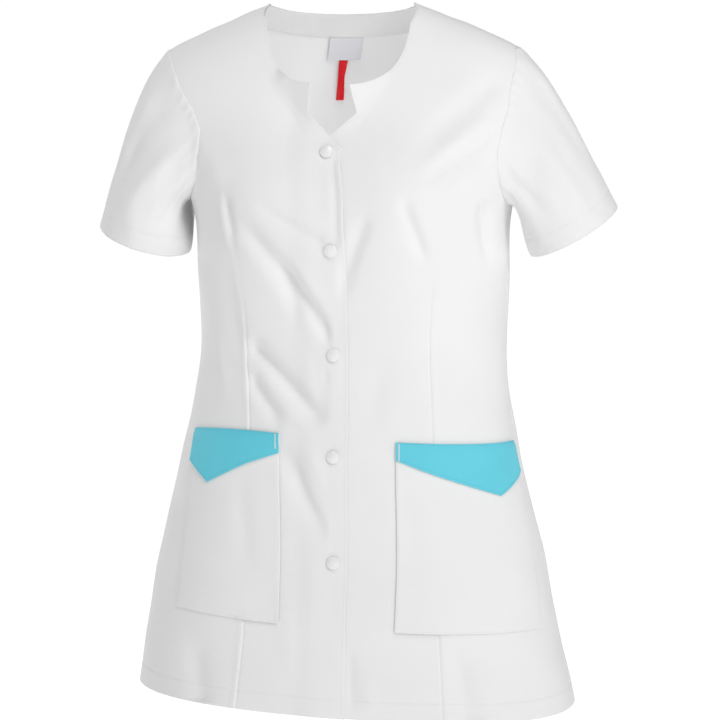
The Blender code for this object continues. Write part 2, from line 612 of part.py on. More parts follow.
def armhole_ring(side, front, back):
    """Edge points and wall directions round an armhole: underarm, front, shoulder tip, back."""
    front_edge, front_way = (part[UNDERARM_ROW:, -1] for part in front)
    column = 0 if side > 0 else -1
    back_edge, back_way = (part[BACK_SKIRT_ROWS:, column] for part in back)
    points = [
        (front_edge[:1] + back_edge[:1]) / 2,
        front_edge[1:-1],
        (front_edge[-1:] + back_edge[-1:]) / 2,
        back_edge[-2:0:-1],
    ]
    ways = [
        front_way[:1] + back_way[:1],
        front_way[1:-1],
        front_way[-1:] + back_way[-1:],
        back_way[-2:0:-1],
    ]
    return np.concatenate(points), unit(np.concatenate(ways)), len(front_edge) - 1


def sleeve_walls(side, front, back):
    """Outer and inner points of a sleeve, from the armhole down to the cuff."""
    ring, way, tip = armhole_ring(side, front, back)
    tangent = unit(np.roll(ring, -1, axis=0) - np.roll(ring, 1, axis=0))
    onward = unit(np.cross(tangent, way)) * side
    start = ring + onward * SEAM_GAP

    run = np.linalg.norm(np.roll(ring, -1, axis=0) - ring, axis=1)
    arc = np.concatenate([[0.0], np.cumsum(run)])
    turn = np.interp(arc[:-1], [0.0, arc[tip], arc[-1]], [0.0, math.pi, 2 * math.pi])
    cuff = dict(zip(CUFF_COLUMNS, CUFFS[side]))
    hang, dip = math.radians(cuff["hang_deg"]), math.radians(cuff["dip_deg"])
    outward = np.array([side * math.cos(hang), 0.0, math.sin(hang)])
    forward = np.array([0.0, -math.cos(dip), -math.sin(dip)])
    axis = unit(np.cross(outward, forward)) * side
    end = np.array([cuff["x"], cuff["y"], cuff["z"]])
    end = end - np.cos(turn)[:, None] * outward * cuff["half_across"]
    end = end + np.sin(turn)[:, None] * forward * cuff["half_deep"]

    length = np.linalg.norm(end - start, axis=1, keepdims=True)
    at_tip = (((1 - np.cos(turn)) / 2) ** 4)[:, None]
    at_underarm = (((1 + np.cos(turn)) / 2) ** UNDERARM_POWER)[:, None]
    lean = 0.30 + 0.70 * at_tip
    first = unit(lean * onward + (1 - lean) * (end - start) / length)
    away = unit(way * [1.0, 1.0, 0.0] + 0.35 * onward)
    first = unit((1 - at_underarm) * first + at_underarm * away)
    reach = length * (SIDE_REACH + (TIP_REACH - SIDE_REACH) * at_tip)
    reach = (1 - at_underarm) * reach + at_underarm * UNDERARM_REACH
    knots = (start, start + first * reach, end - axis * length * CUFF_REACH, end)
    t = np.linspace(0, 1, SLEEVE_ROWS + 1)[:, None, None] ** 1.15
    weights = ((1 - t) ** 3, 3 * t * (1 - t) ** 2, 3 * t * t * (1 - t), t**3)
    outer = sum(weight * knot[None] for weight, knot in zip(weights, knots))

    normal = sleeve_normals(outer, side)
    share_round = (turn / (2 * math.pi))[None, :]
    share_down = t[..., 0]
    height = np.zeros(outer.shape[:2])
    for row in SLEEVE_CREASES[side]:
        crease = dict(zip(SLEEVE_CREASE_COLUMNS, row))
        off_round = share_round - crease["round"] - crease["slope"] * (share_down - 0.5)
        off_down = share_down - crease["down"]
        bump = np.exp(-((off_round / crease["half_round"]) ** 2))
        bump = bump * np.exp(-((off_down / crease["half_down"]) ** 2))
        height = height + crease["height"] * bump
    height = height * smooth_step(0.0, 0.25, share_down)
    outer = outer + normal * height[..., None]
    normal = sleeve_normals(outer, side)
    normal[0] = way
    return outer, outer - normal * WALL


def sleeve_normals(points, side):
    """Outward directions of a sleeve's grid, whose columns close into a ring."""
    round_way = np.roll(points, -1, axis=1) - np.roll(points, 1, axis=1)
    down_way = np.gradient(points, axis=0)
    return unit(np.cross(down_way, round_way)) * side


# ------------------------------------------------------------------ blender
# Colours in linear light and roughness of the materials.
CLOTH_FINISH = ((0.80, 0.80, 0.82), 0.85)
FACING_FINISH = ((0.74, 0.74, 0.77), 0.85)
FLAP_FINISH = ((0.20, 0.62, 0.75), 0.70)
SNAP_FINISH = ((0.76, 0.76, 0.77), 0.35)
LABEL_FINISH = ((0.55, 0.55, 0.58), 0.60)
TAPE_FINISH = ((0.55, 0.02, 0.03), 0.60)


def new_object(name, points, faces, finish):
    """A smooth-shaded mesh object with a material of its own."""
    mesh = bpy.data.meshes.new(name)
    mesh.from_pydata(np.asarray(points).tolist(), [], np.asarray(faces).tolist())
    mesh.shade_smooth()
    colour, roughness = finish
    material = bpy.data.materials.new(name)
    material.use_nodes = True
    shader = material.node_tree.nodes["Principled BSDF"]
    shader.inputs["Base Color"].default_value = (*colour, 1.0)
    shader.inputs["Roughness"].default_value = roughness
    mesh.materials.append(material)
    obj = bpy.data.objects.new(name, mesh)
    bpy.context.scene.collection.objects.link(obj)
    return obj


def halves(quads):
    """Two triangles for each quad, all split along the same diagonal."""
    quads = np.asarray(quads)
    return np.concatenate([quads[:, [0, 1, 2]], quads[:, [0, 2, 3]]])


def wall_faces(rows, columns, ring):
    """Triangles of a wall whose outer grid's points come first and inner grid's points after."""
    index = np.arange(rows * columns).reshape(rows, columns)
    if ring:
        index = np.concatenate([index, index[:, :1]], axis=1)
    corners = (index[:-1, :-1], index[:-1, 1:], index[1:, 1:], index[1:, :-1])
    outer = halves(np.stack([corner.ravel() for corner in corners], axis=1))
    rims = [index[0], index[-1][::-1]]
    if not ring:
        rims = rims + [index[:, -1], index[:, 0][::-1]]
    other = rows * columns
    sides = [
        np.stack([rim[1:], rim[:-1], rim[:-1] + other, rim[1:] + other], axis=1) for rim in rims
    ]
    return np.concatenate([outer, outer[:, ::-1] + other, halves(np.concatenate(sides))])


def wall_object(name, outer, inner, finish, ring=False):
    """A wall of cloth between two grids of points."""
    faces = wall_faces(*outer.shape[:2], ring)
    return new_object(name, np.concatenate([outer.reshape(-1, 3), inner.reshape(-1, 3)]), faces, finish)  # fmt: skip


def facing_out(side, grid):
    """A front's grid with its columns running toward the wearer's left."""
    return grid if side > 0 else grid[:, ::-1]


def make_front(side, word, grid):
    """One front with its pocket and flap."""
    pocket = grid[HEM_ROWS : POCKET_TOP_ROW + 1, POCKET_FIRST : POCKET_LAST + 1]
    pocket_face = SEAM_GAP + WALL
    flap_face = pocket_face + LAYER_GAP + TRIM_WALL
    blocks = (
        ("front_", grid, 0.0, WALL, CLOTH_FINISH),
        ("pocket_", pocket, pocket_face, WALL, CLOTH_FINISH),
        ("pocket_flap_", flap_grid(side, grid), flap_face, TRIM_WALL, FLAP_FINISH),
    )
    for name, block, offset, wall, finish in blocks:
        outer, normal = on_front(side, block, offset)
        outer, normal = facing_out(side, outer), facing_out(side, normal)
        wall_object(name + word, outer, outer - normal * wall, finish)


def make_back(grid):
    """The back, and what is sewn inside its neck."""
    outer, normal = on_back(grid)
    wall_object("back", outer, outer - normal * WALL, CLOTH_FINISH)
    facing = neck_part(grid)[-1 - FACING_ROWS :]
    label = label_grid(neck_part(grid))
    inside = (
        ("back_neck_facing", facing, LAYER_GAP, FACING_FINISH),
        ("neck_label", label, INSIDE_GAP, LABEL_FINISH),
        ("label_tape", tape_grid(label), INSIDE_GAP, TAPE_FINISH),
    )
    for name, block, gap, finish in inside:
        outer, normal = on_back(block, -WALL - gap)
        wall_object(name, outer, outer - normal * TRIM_WALL, finish)


def make_snap(number, z):
    """One snap cap: a closed dome on the lapped edge."""
    seat, rings, top = snap_points(z)
    points = np.concatenate([[seat], *rings, [top]])
    count = SNAP_SEGMENTS
    ring = np.arange(count)
    following = (ring + 1) % count
    faces = [(0, 1 + b, 1 + a) for a, b in zip(ring, following)]
    for level in range(len(rings) - 1):
        low, high = 1 + level * count, 1 + (level + 1) * count
        for a, b in zip(ring, following):
            faces += [(low + a, low + b, high + b), (low + a, high + b, high + a)]
    last = 1 + (len(rings) - 1) * count
    faces += [(last + a, last + b, len(points) - 1) for a, b in zip(ring, following)]
    new_object(f"snap_{number}", points, faces, SNAP_FINISH)


def main():
    """Builds the tunic."""
    for obj in list(bpy.data.objects):
        bpy.data.objects.remove(obj)
    back = back_grid()
    make_back(back)
    for side, word in ((1, "left"), (-1, "right")):
        front = front_grid(side)
        make_front(side, word, front)
        outer, inner = sleeve_walls(side, on_front(side, front), on_back(back))
        if side < 0:
            outer, inner = outer[:, ::-1], inner[:, ::-1]
        wall_object("sleeve_" + word, outer[::-1], inner[::-1], CLOTH_FINISH, ring=True)
    for number, z in enumerate(SNAP_HEIGHTS, start=1):
        make_snap(number, z)


main()
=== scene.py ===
"""A short-sleeved medical tunic, filled out as if worn, dressed in cloth, stitching and snaps.

Metres, +Z up, front facing -Y, the origin midway between the neck points of the shoulder seams.
Right and left are the wearer's: the wearer's left is +X. Every cloth piece is a thin wall laid on
the form that fills the tunic. Its points are pattern coordinates: the arc along the form's section
from the centre front or centre back, and the height.
"""

import json
import logging
import math
from dataclasses import dataclass, field
from enum import Enum
from typing import Iterable, Optional, Sequence, Union

import bpy
import numpy as np
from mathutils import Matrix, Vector
from numpy.typing import NDArray

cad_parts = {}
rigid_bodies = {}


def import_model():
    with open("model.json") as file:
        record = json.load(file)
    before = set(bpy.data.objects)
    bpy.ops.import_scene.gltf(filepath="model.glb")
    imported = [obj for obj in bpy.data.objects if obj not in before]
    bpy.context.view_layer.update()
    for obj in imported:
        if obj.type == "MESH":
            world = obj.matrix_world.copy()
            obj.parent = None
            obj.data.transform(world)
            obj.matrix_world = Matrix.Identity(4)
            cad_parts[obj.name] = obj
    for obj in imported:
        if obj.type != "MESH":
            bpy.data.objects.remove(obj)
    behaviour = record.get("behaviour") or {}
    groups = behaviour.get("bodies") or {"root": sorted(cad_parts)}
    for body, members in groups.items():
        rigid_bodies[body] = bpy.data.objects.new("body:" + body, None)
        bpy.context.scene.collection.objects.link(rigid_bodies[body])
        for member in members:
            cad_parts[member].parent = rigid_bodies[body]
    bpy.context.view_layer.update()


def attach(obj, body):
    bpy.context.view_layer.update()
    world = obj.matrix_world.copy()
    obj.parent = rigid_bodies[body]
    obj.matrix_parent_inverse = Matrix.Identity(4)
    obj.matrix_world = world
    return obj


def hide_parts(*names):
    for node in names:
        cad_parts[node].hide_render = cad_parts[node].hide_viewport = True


Array = NDArray[np.float64]
Cells = NDArray[np.int64]
Point = tuple[float, float]
Triple = tuple[float, float, float]
Colour = Triple
Amount = Union[float, Array]
Socket = bpy.types.NodeSocket

LOG = logging.getLogger("tunic")

# ---- sizes that all pieces share
PANEL_WALL = 0.0014  # the frame's cloth panels
TRIM_WALL = 0.0011  # the frame's flaps, facing, label and tape
CLOTH = 0.001  # thickness of the cloth shown
TRIM = 0.0008  # thickness of the trim shown
TAPE = 0.0006  # thickness of the tape shown
SEAM_GAP = 0.0003
LAP_GAP = 0.0008
LAYER_GAP = 0.0006
INSIDE_GAP = 0.001
FOLD_OUT = 0.00032  # how far a folded edge rounds out past its wall
STITCH_OUT = 0.0001  # how far stitches stand off the cloth

HEM_Z = -0.733
UNDERARM_Z = -0.207
SHOULDER_TIP_Z = -0.046
HEM_DEPTH = 0.02
HEM_GROOVE = 0.00032  # depth of the line that the hem's stitching presses in
HEM_GROOVE_WIDTH = 0.0014
HEM_PLY = 0.00045  # how much thicker the turned-up hem shows inside
PLY_EDGE = 0.001  # over how much of the cloth a ply ends
LAP = 0.0145
LAP_TOP_Z = -0.1455
NOTCH: Point = (0.025, -0.111)
TAB: Point = (0.0195, -0.0855)
NECK_HALF_WIDTH = 0.0755
SCOOP_DEPTH = 0.0865
SCOOP_SQUARENESS = 2.6
BACK_NECK_DEPTH = 0.013
BACK_NECK_SQUARENESS = 2.15
ARMHOLE_ROUNDNESS = 0.75
POCKET_TOP_Z = -0.441
POCKET_BOTTOM_Z = -0.6375
POCKET_INNER = 0.0615


class Side(Enum):
    """One side of the wearer; its value is the sign of X there."""

    LEFT = 1
    RIGHT = -1

    @property
    def word(self) -> str:
        """The side's name in the frame's node names."""
        return self.name.lower()


class Held(Enum):
    HUNG = "hung"
    LAID = "laid"
    FOLDED = "folded"


# ---- curves
def smooth_curve(knots: Sequence[float], values: Sequence[float], at: Array) -> Array:
    """Smooth curve through the knots, in cubic pieces whose slopes never overshoot.

    Between two knots: y = y0(1+2t)(1-t)^2 + y1 t^2(3-2t) + w s0 t(1-t)^2 + w s1 t^2(t-1), where
    each inner slope is the harmonic mean of its neighbours' slopes, or 0 at a turn.

    Args:
        knots: Rising places of the knots.
        values: Values there.
        at: Places to evaluate.

    Returns:
        The values at those places.
    """
    places, heights, at = np.asarray(knots), np.asarray(values), np.asarray(at, float)
    step = np.diff(places)
    rise = np.diff(heights) / step
    before, after = rise[:-1], rise[1:]
    same_way = before * after > 0
    total = np.where(same_way, before + after, 1.0)
    inner = np.where(same_way, 2.0 * before * after / total, 0.0)
    slope = np.concatenate([rise[:1], inner, rise[-1:]])
    piece = np.clip(np.searchsorted(places, at) - 1, 0, len(step) - 1)
    width = step[piece]
    t = (at - places[piece]) / width
    return (
        heights[piece] * (1 + 2 * t) * (1 - t) ** 2
        + heights[piece + 1] * t * t * (3 - 2 * t)
        + width * slope[piece] * t * (1 - t) ** 2
        + width * slope[piece + 1] * t * t * (t - 1)
    )


def smooth_step(low: float, high: float, at: Amount) -> Array:
    """0 below low, 1 above high, and t^2(3-2t) between."""
    t = np.clip((np.asarray(at, float) - low) / (high - low), 0.0, 1.0)
    return t * t * (3 - 2 * t)


def bell(at: Amount, width: float) -> Array:
    """exp(-(at/width)^2): 1 at 0 and falling off softly over the width."""
    return np.exp(-((at / width) ** 2))


def unit(vectors: Array) -> Array:
    """Vectors scaled to length one."""
    return vectors / np.maximum(np.linalg.norm(vectors, axis=-1, keepdims=True), 1e-12)


def run_along(points: Array) -> Array:
    """Running length of a line of points, from 0 at its first."""
    return np.concatenate([[0.0], np.cumsum(np.linalg.norm(np.diff(points, axis=0), axis=1))])


def read_at(at: Array, run: Sequence[float], values: Array) -> Array:
    """Rows of values that belong to the places `run`, read straight between them at others."""
    return np.stack([np.interp(at, run, column) for column in values.T], axis=-1)


def steps(*stations_and_counts: float) -> Array:
    """Even steps through stations: steps(a, 3, b, 2, c) has three steps to b and two to c.

    Args:
        *stations_and_counts: Stations, with the number of steps between each two.

    Returns:
        The places of all steps.
    """
    stations, counts = stations_and_counts[0::2], stations_and_counts[1::2]
    parts = [
        np.linspace(low, high, int(count), endpoint=False)
        for low, high, count in zip(stations, stations[1:], counts)
    ]
    return np.concatenate([*parts, stations[-1:]])


def clustered(
    last: int, per_cell: int, dense: Iterable[float], reach: float, extra: int,
    power: float = 1.6, closest: float = 0.012,
) -> Array:
    """Fractional grid lines: even ones, and more of them close to some places.

    Args:
        last: The highest line of the coarse grid.
        per_cell: How many even lines stand in each coarse cell.
        dense: The places that get more lines.
        reach: How far from each place the added lines go, in cells.
        extra: How many lines are added on each side of a place.
        power: How much closer together they stand near it.
        closest: The least distance between two lines.

    Returns:
        The rising places of all lines, from 0 to last.
    """
    lines = [np.linspace(0, last, last * per_cell + 1)]
    spread = (np.arange(1, extra + 1) / extra) ** power * reach
    lines += [place + np.concatenate([-spread, [0.0], spread]) for place in dense]
    merged = np.unique(np.round(np.concatenate(lines), 5))
    merged = merged[(merged >= 0) & (merged <= last)]
    kept = np.concatenate([[True], np.diff(merged) > closest])
    kept[-1] = True
    return merged[kept]


def refined(grid: Array, rows: Array, columns: Array) -> Array:
    """A grid read at fractional rows and columns, straight between its own lines.

    Args:
        grid: Coarse grid, rows by columns by coordinates.
        rows: Fractional rows to read.
        columns: Fractional columns to read.

    Returns:
        The finer grid.
    """
    row = np.clip(rows.astype(int), 0, grid.shape[0] - 2)
    column = np.clip(columns.astype(int), 0, grid.shape[1] - 2)
    up = (rows - row)[:, None, None]
    along = (columns - column)[None, :, None]
    low = (1 - along) * grid[row][:, column] + along * grid[row][:, column + 1]
    high = (1 - along) * grid[row + 1][:, column] + along * grid[row + 1][:, column + 1]
    return (1 - up) * low + up * high


def ripples(at: Array, other: Array, seed: int, wavelength: float, waves: int = 6) -> Array:
    """Slow unevenness of a surface: sine waves in seeded directions, added and halved.

    Args:
        at: First coordinate.
        other: Second coordinate.
        seed: Seed of the directions, lengths and phases.
        wavelength: Mean length of the waves.
        waves: How many waves there are.

    Returns:
        Values within about -1 to 1.
    """
    draw = np.random.default_rng(seed)
    total = np.zeros(np.broadcast(at, other).shape)
    for _ in range(waves):
        angle, phase = draw.uniform(0, 2 * math.pi, 2)
        number = 2 * math.pi / (wavelength * draw.uniform(0.65, 1.5))
        total = total + np.sin(number * (at * math.cos(angle) + other * math.sin(angle)) + phase)
    return total / (waves / 2)


def picked(table: Array, piece: Cells) -> tuple[Array, Array]:
    """A table's entries at an index along its last axis, and at the next index."""
    low, high = (np.take_along_axis(table, piece[..., None] + step, axis=-1) for step in (0, 1))
    return low[..., 0], high[..., 0]


# ---- the form inside the tunic
@dataclass(frozen=True)
class BodyForm:
    """The form that fills the tunic: superellipse sections stacked in height.

    Each section row is (z, half width, depth to the front, depth to the back, squareness, sideways
    shift, turn in degrees, tilt). The bust carries the front forward. `half` is the name of the
    front's or the back's depth.
    """

    sections: tuple[tuple[float, ...], ...] = (
        (-0.74, 0.2385, 0.124, 0.121, 2.3, 0.0135, -6.0, -0.015),
        (-0.7, 0.2315, 0.123, 0.121, 2.3, 0.0125, -6.0, -0.02),
        (-0.66, 0.223, 0.122, 0.119, 2.3, 0.0115, -6.0, -0.03),
        (-0.615, 0.2145, 0.121, 0.117, 2.3, 0.011, -6.0, -0.036),
        (-0.57, 0.205, 0.119, 0.114, 2.3, 0.0115, -6.0, -0.041),
        (-0.525, 0.194, 0.116, 0.11, 2.3, 0.0112, -6.0, -0.045),
        (-0.48, 0.183, 0.113, 0.106, 2.3, 0.0105, -6.0, -0.047),
        (-0.44, 0.174, 0.11, 0.101, 2.3, 0.0112, -6.0, -0.045),
        (-0.4, 0.1665, 0.107, 0.095, 2.3, 0.0118, -6.0, -0.038),
        (-0.36, 0.163, 0.104, 0.091, 2.3, 0.0123, -6.0, -0.03),
        (-0.32, 0.164, 0.104, 0.093, 2.3, 0.012, -6.0, -0.02),
        (-0.28, 0.165, 0.107, 0.098, 2.3, 0.0115, -6.0, -0.01),
        (-0.24, 0.165, 0.11, 0.104, 2.3, 0.0112, -6.0, -0.004),
        (-0.207, 0.169, 0.109, 0.108, 2.3, 0.01, -5.8, 0.0),
        (-0.185, 0.177, 0.105, 0.109, 2.32, 0.009, -5.4, 0.003),
        (-0.16, 0.1885, 0.098, 0.109, 2.35, 0.007, -4.5, 0.006),
        (-0.13, 0.2, 0.087, 0.106, 2.36, 0.005, -3.0, 0.009),
        (-0.1, 0.207, 0.077, 0.1, 2.4, 0.0032, -1.5, 0.011),
        (-0.075, 0.2065, 0.068, 0.093, 2.3, 0.0018, -0.5, 0.012),
        (-0.058, 0.199, 0.06, 0.086, 2.24, 0.001, 0.0, 0.012),
        (-0.046, 0.186, 0.054, 0.08, 2.2, 0.0006, 0.0, 0.012),
        (-0.034, 0.158, 0.048, 0.073, 2.15, 0.0003, 0.0, 0.012),
        (-0.022, 0.1285, 0.042, 0.066, 2.1, 0.0, 0.0, 0.012),
        (-0.01, 0.099, 0.035, 0.058, 2.05, 0.0, 0.0, 0.012),
        (0.0, 0.0755, 0.029, 0.05, 2.0, 0.0, 0.0, 0.012),
    )
    names: tuple[str, ...] = (
        "z", "half_width", "front", "back", "squareness", "lean", "turn_deg", "tilt"
    )
    softness: float = 0.011
    weights: tuple[int, ...] = (1, 4, 6, 4, 1)
    arc_steps: int = 97
    bust_height: float = 0.014
    bust_across: float = 0.085
    bust_z: float = -0.215
    bust_spread: Point = (0.05, 0.058)
    bust_edge: float = 0.35  # cosine of the angle at which the bust has its full height
    probe: float = 2e-4  # step by which directions are measured

    def section(self, name: str, z: Amount) -> Array:
        """One column of the sections at these heights.

        It is the smooth curve through the column, averaged over five heights with the weights
        1, 4, 6, 4, 1, up to two softnesses up and down.

        Args:
            name: The column's name.
            z: Heights.

        Returns:
            The column's values there.
        """
        z = np.asarray(z, float)
        table = np.array(self.sections)
        column = table[:, self.names.index(name)]
        step = np.clip(np.minimum(-z, z - table[0, 0]) / 2, 0.0, self.softness)
        total = np.zeros(z.shape)
        for place, weight in zip((-2, -1, 0, 1, 2), self.weights):
            total = total + weight / 16 * smooth_curve(table[:, 0], column, z + place * step)
        return total

    def bust(self, across: Array, z: Array) -> Array:
        """How far the bust carries the front forward: a bell exp(-(d/s)^2/2) on each side.

        Args:
            across: Distance from the middle, positive to the wearer's left.
            z: Height.

        Returns:
            The distance forward.
        """
        spread, spread_z = (size * math.sqrt(2) for size in self.bust_spread)
        pair = sum(bell(across - side.value * self.bust_across, spread) for side in Side)
        return self.bust_height * bell(z - self.bust_z, spread_z) * pair

    def point(self, angle: Array, z: Array) -> Array:
        """Point of the form: |x/a|^n + |y/b|^n = 1 in polar form, turned, shifted and tilted.

        Args:
            angle: Angle from the centre front, positive to the wearer's left.
            z: Height before the tilt.

        Returns:
            The points.
        """
        angle, z = np.broadcast_arrays(np.asarray(angle, float), np.asarray(z, float))
        sine, cosine = np.sin(angle), np.cos(angle)
        power = self.section("squareness", z)
        depth = np.where(cosine >= 0, self.section("front", z), self.section("back", z))
        reach = (np.abs(sine) / self.section("half_width", z)) ** power
        radius = (reach + (np.abs(cosine) / depth) ** power) ** (-1 / power)
        across = radius * sine
        along = -radius * cosine - self.bust(across, z) * smooth_step(0.0, self.bust_edge, cosine)
        turn = np.radians(self.section("turn_deg", z))
        x = self.section("lean", z) + across * np.cos(turn) - along * np.sin(turn)
        y = across * np.sin(turn) + along * np.cos(turn)
        return np.stack([x, y, z + self.section("tilt", z) * across], axis=-1)

    def normal(self, angle: Array, z: Array) -> Array:
        """Outward direction: the cross product of the steps round the form and up it.

        Args:
            angle: Angle from the centre front.
            z: Height before the tilt.

        Returns:
            The unit directions.
        """
        round_way = self.point(angle + self.probe, z) - self.point(angle - self.probe, z)
        up_way = self.point(angle, z + self.probe) - self.point(angle, z - self.probe)
        return unit(np.cross(round_way, up_way))

    def quarter_arcs(self, z: Amount, half: str) -> Array:
        """Arc from the centre line at even angles up to the side seam, for each height.

        Args:
            z: Heights.
            half: "front" or "back".

        Returns:
            The running arcs, with the angles along the last axis.
        """
        angles = np.linspace(0.0, math.pi / 2, self.arc_steps)
        z = np.asarray(z, float)[..., None]
        power = self.section("squareness", z)
        reach = (np.sin(angles) / self.section("half_width", z)) ** power
        radius = (reach + (np.cos(angles) / self.section(half, z)) ** power) ** (-1 / power)
        chord = np.hypot(np.diff(radius * np.sin(angles)), np.diff(radius * np.cos(angles)))
        return np.concatenate([np.zeros_like(z), np.cumsum(chord, axis=-1)], axis=-1)

    def seam_arc(self, z: Amount, half: str) -> Array:
        """Arc from the centre line to the side or shoulder seam."""
        return self.quarter_arcs(z, half)[..., -1]

    def angle_at(self, arc: Array, z: Array, half: str) -> Array:
        """Angle from the centre line at which a section has run an arc, by its arc table.

        Args:
            arc: The arcs, with a sign.
            z: Heights.
            half: "front" or "back".

        Returns:
            The angles, with the arcs' signs.
        """
        arc, z = np.broadcast_arrays(np.asarray(arc, float), np.asarray(z, float))
        table = self.quarter_arcs(z, half)
        run = np.minimum(np.abs(arc), table[..., -1])
        piece = np.clip((table <= run[..., None]).sum(axis=-1) - 1, 0, self.arc_steps - 2)
        low, high = picked(table, piece)
        share = (piece + (run - low) / (high - low)) / (self.arc_steps - 1)
        return np.sign(arc) * share * math.pi / 2

    def arc_of(self, across: Array, forward: Array, z: Array, half: str) -> Array:
        """Arc of a point of the section, by its arc table.

        Args:
            across: Distance sideways from the middle.
            forward: Distance from the seam line.
            z: Height.
            half: "front" or "back".

        Returns:
            The arcs, with the signs of `across`.
        """
        place = np.arctan2(np.abs(across), forward) / (math.pi / 2) * (self.arc_steps - 1)
        piece = np.clip(place.astype(int), 0, self.arc_steps - 2)
        low, high = picked(self.quarter_arcs(z, half), piece)
        return np.sign(across) * (low + (place - piece) * (high - low))

    def other_share(self, distance: Array, name: str, z: Array) -> Array:
        """(1 - s^n)^(1/n): a section's share of one reach where it has the share s of the other.

        Args:
            distance: The distance that is known.
            name: The reach that it is a part of.
            z: Height.

        Returns:
            The share of the other reach.
        """
        power = self.section("squareness", z)
        share = np.clip(distance / self.section(name, z), 0.0, 1.0)
        return (1 - share**power) ** (1 / power)

    def arc_at_across(self, across: Array, z: Array, half: str) -> Array:
        """Arc at which a section reaches this distance sideways."""
        forward = self.section(half, z) * self.other_share(np.abs(across), "half_width", z)
        return self.arc_of(across, forward, z, half)

    def arc_at_depth(self, forward: Array, z: Array, half: str) -> Array:
        """Arc at which a section has come back to this distance from the seam line."""
        across = self.section("half_width", z) * self.other_share(forward, half, z)
        return self.arc_of(across, forward, z, half)

    def edge(self, arc: Array, seam: Array, z: Array) -> Array:
        """Pattern points of an edge, kept half a clearance short of the seam."""
        return np.stack([np.minimum(arc, seam - SEAM_GAP / 2), z], axis=-1)

    def armhole(self, half: str, share: Array, reach: float, egg: float) -> Array:
        """Edge of a panel round the arm, an egg from the underarm (0) to the shoulder tip (1).

        Args:
            half: "front" or "back".
            share: Shares of the way up.
            reach: How far the edge stands from the seam line at most.
            egg: How much farther it reaches low down than high up.

        Returns:
            Points as (arc, height).
        """
        middle = (UNDERARM_Z + SHOULDER_TIP_Z) / 2
        half_height = (SHOULDER_TIP_Z - UNDERARM_Z) / 2
        sine = np.clip(np.sin(math.pi * share), 0.0, 1.0)
        cosine = np.cos(math.pi * share)
        z = middle - half_height * cosine
        forward = reach * sine**ARMHOLE_ROUNDNESS * (1 + egg * cosine)
        seam = self.seam_arc(z, half)
        return self.edge(np.where(sine < 1e-6, seam, self.arc_at_depth(forward, z, half)), seam, z)

    def scoop(
        self, share: Array, depth: float, squareness: float, half: str, start: float = 0.0
    ) -> Array:
        """Curved neck edge: a quarter superellipse from near the centre (0) to the neck point (1).

        Args:
            share: Shares of the way.
            depth: Depth of the neck below the neck points.
            squareness: Power of the superellipse.
            half: "front" or "back".
            start: Angle at which the curve begins.

        Returns:
            Points as (arc, height).
        """
        angle = start + (math.pi / 2 - start) * share
        across = NECK_HALF_WIDTH * np.sin(angle) ** (2 / squareness)
        z = -depth * np.clip(np.cos(angle), 0.0, 1.0) ** (2 / squareness)
        seam = self.seam_arc(z, half)
        return self.edge(np.where(share >= 1.0, seam, self.arc_at_across(across, z, half)), seam, z)

    def shoulder(self, half: str, z: Array) -> Array:
        """The shoulder seam, less half its clearance, as (arc, height)."""
        return np.stack([self.seam_arc(z, half) - SEAM_GAP / 2, z], axis=-1)


def coons(bottom: Array, top: Array, left: Array, right: Array, row_shares: Array) -> Array:
    """Grid inside four edges of points: the two ruled sheets' sum less the corners' sheet.

    Args:
        bottom: Lower edge.
        top: Upper edge.
        left: Edge at the first column.
        right: Edge at the last column.
        row_shares: How far up each row stands.

    Returns:
        The grid.
    """
    u = np.linspace(0, 1, len(bottom))[None, :, None]
    v = np.asarray(row_shares)[:, None, None]
    ruled_up = (1 - v) * bottom[None] + v * top[None]
    ruled_across = (1 - u) * left[:, None] + u * right[:, None]
    corners = (1 - v) * ((1 - u) * bottom[0] + u * bottom[-1])
    corners = corners + v * ((1 - u) * top[0] + u * top[-1])
    return ruled_up + ruled_across - corners


def relaxed(grid: Array, rounds: int) -> Array:
    """The grid with its inner points moved by elliptic smoothing, so that no cell folds over.

    Args:
        grid: Grid of pattern points; its edges stay.
        rounds: How often it is smoothed.

    Returns:
        The smoothed grid.
    """
    grid = grid.copy()
    for _ in range(rounds):
        across = (grid[1:-1, 2:] - grid[1:-1, :-2]) / 2
        up = (grid[2:, 1:-1] - grid[:-2, 1:-1]) / 2
        skew = (grid[2:, 2:] - grid[2:, :-2] - grid[:-2, 2:] + grid[:-2, :-2]) / 4
        pull_across = (up**2).sum(axis=-1, keepdims=True)
        pull_up = (across**2).sum(axis=-1, keepdims=True)
        lean = (across * up).sum(axis=-1, keepdims=True)
        total = pull_across * (grid[1:-1, 2:] + grid[1:-1, :-2])
        total = total + pull_up * (grid[2:, 1:-1] + grid[:-2, 1:-1]) - 2 * lean * skew
        grid[1:-1, 1:-1] = total / (2 * (pull_across + pull_up))
    return grid


# ---- creases
MM = 0.001


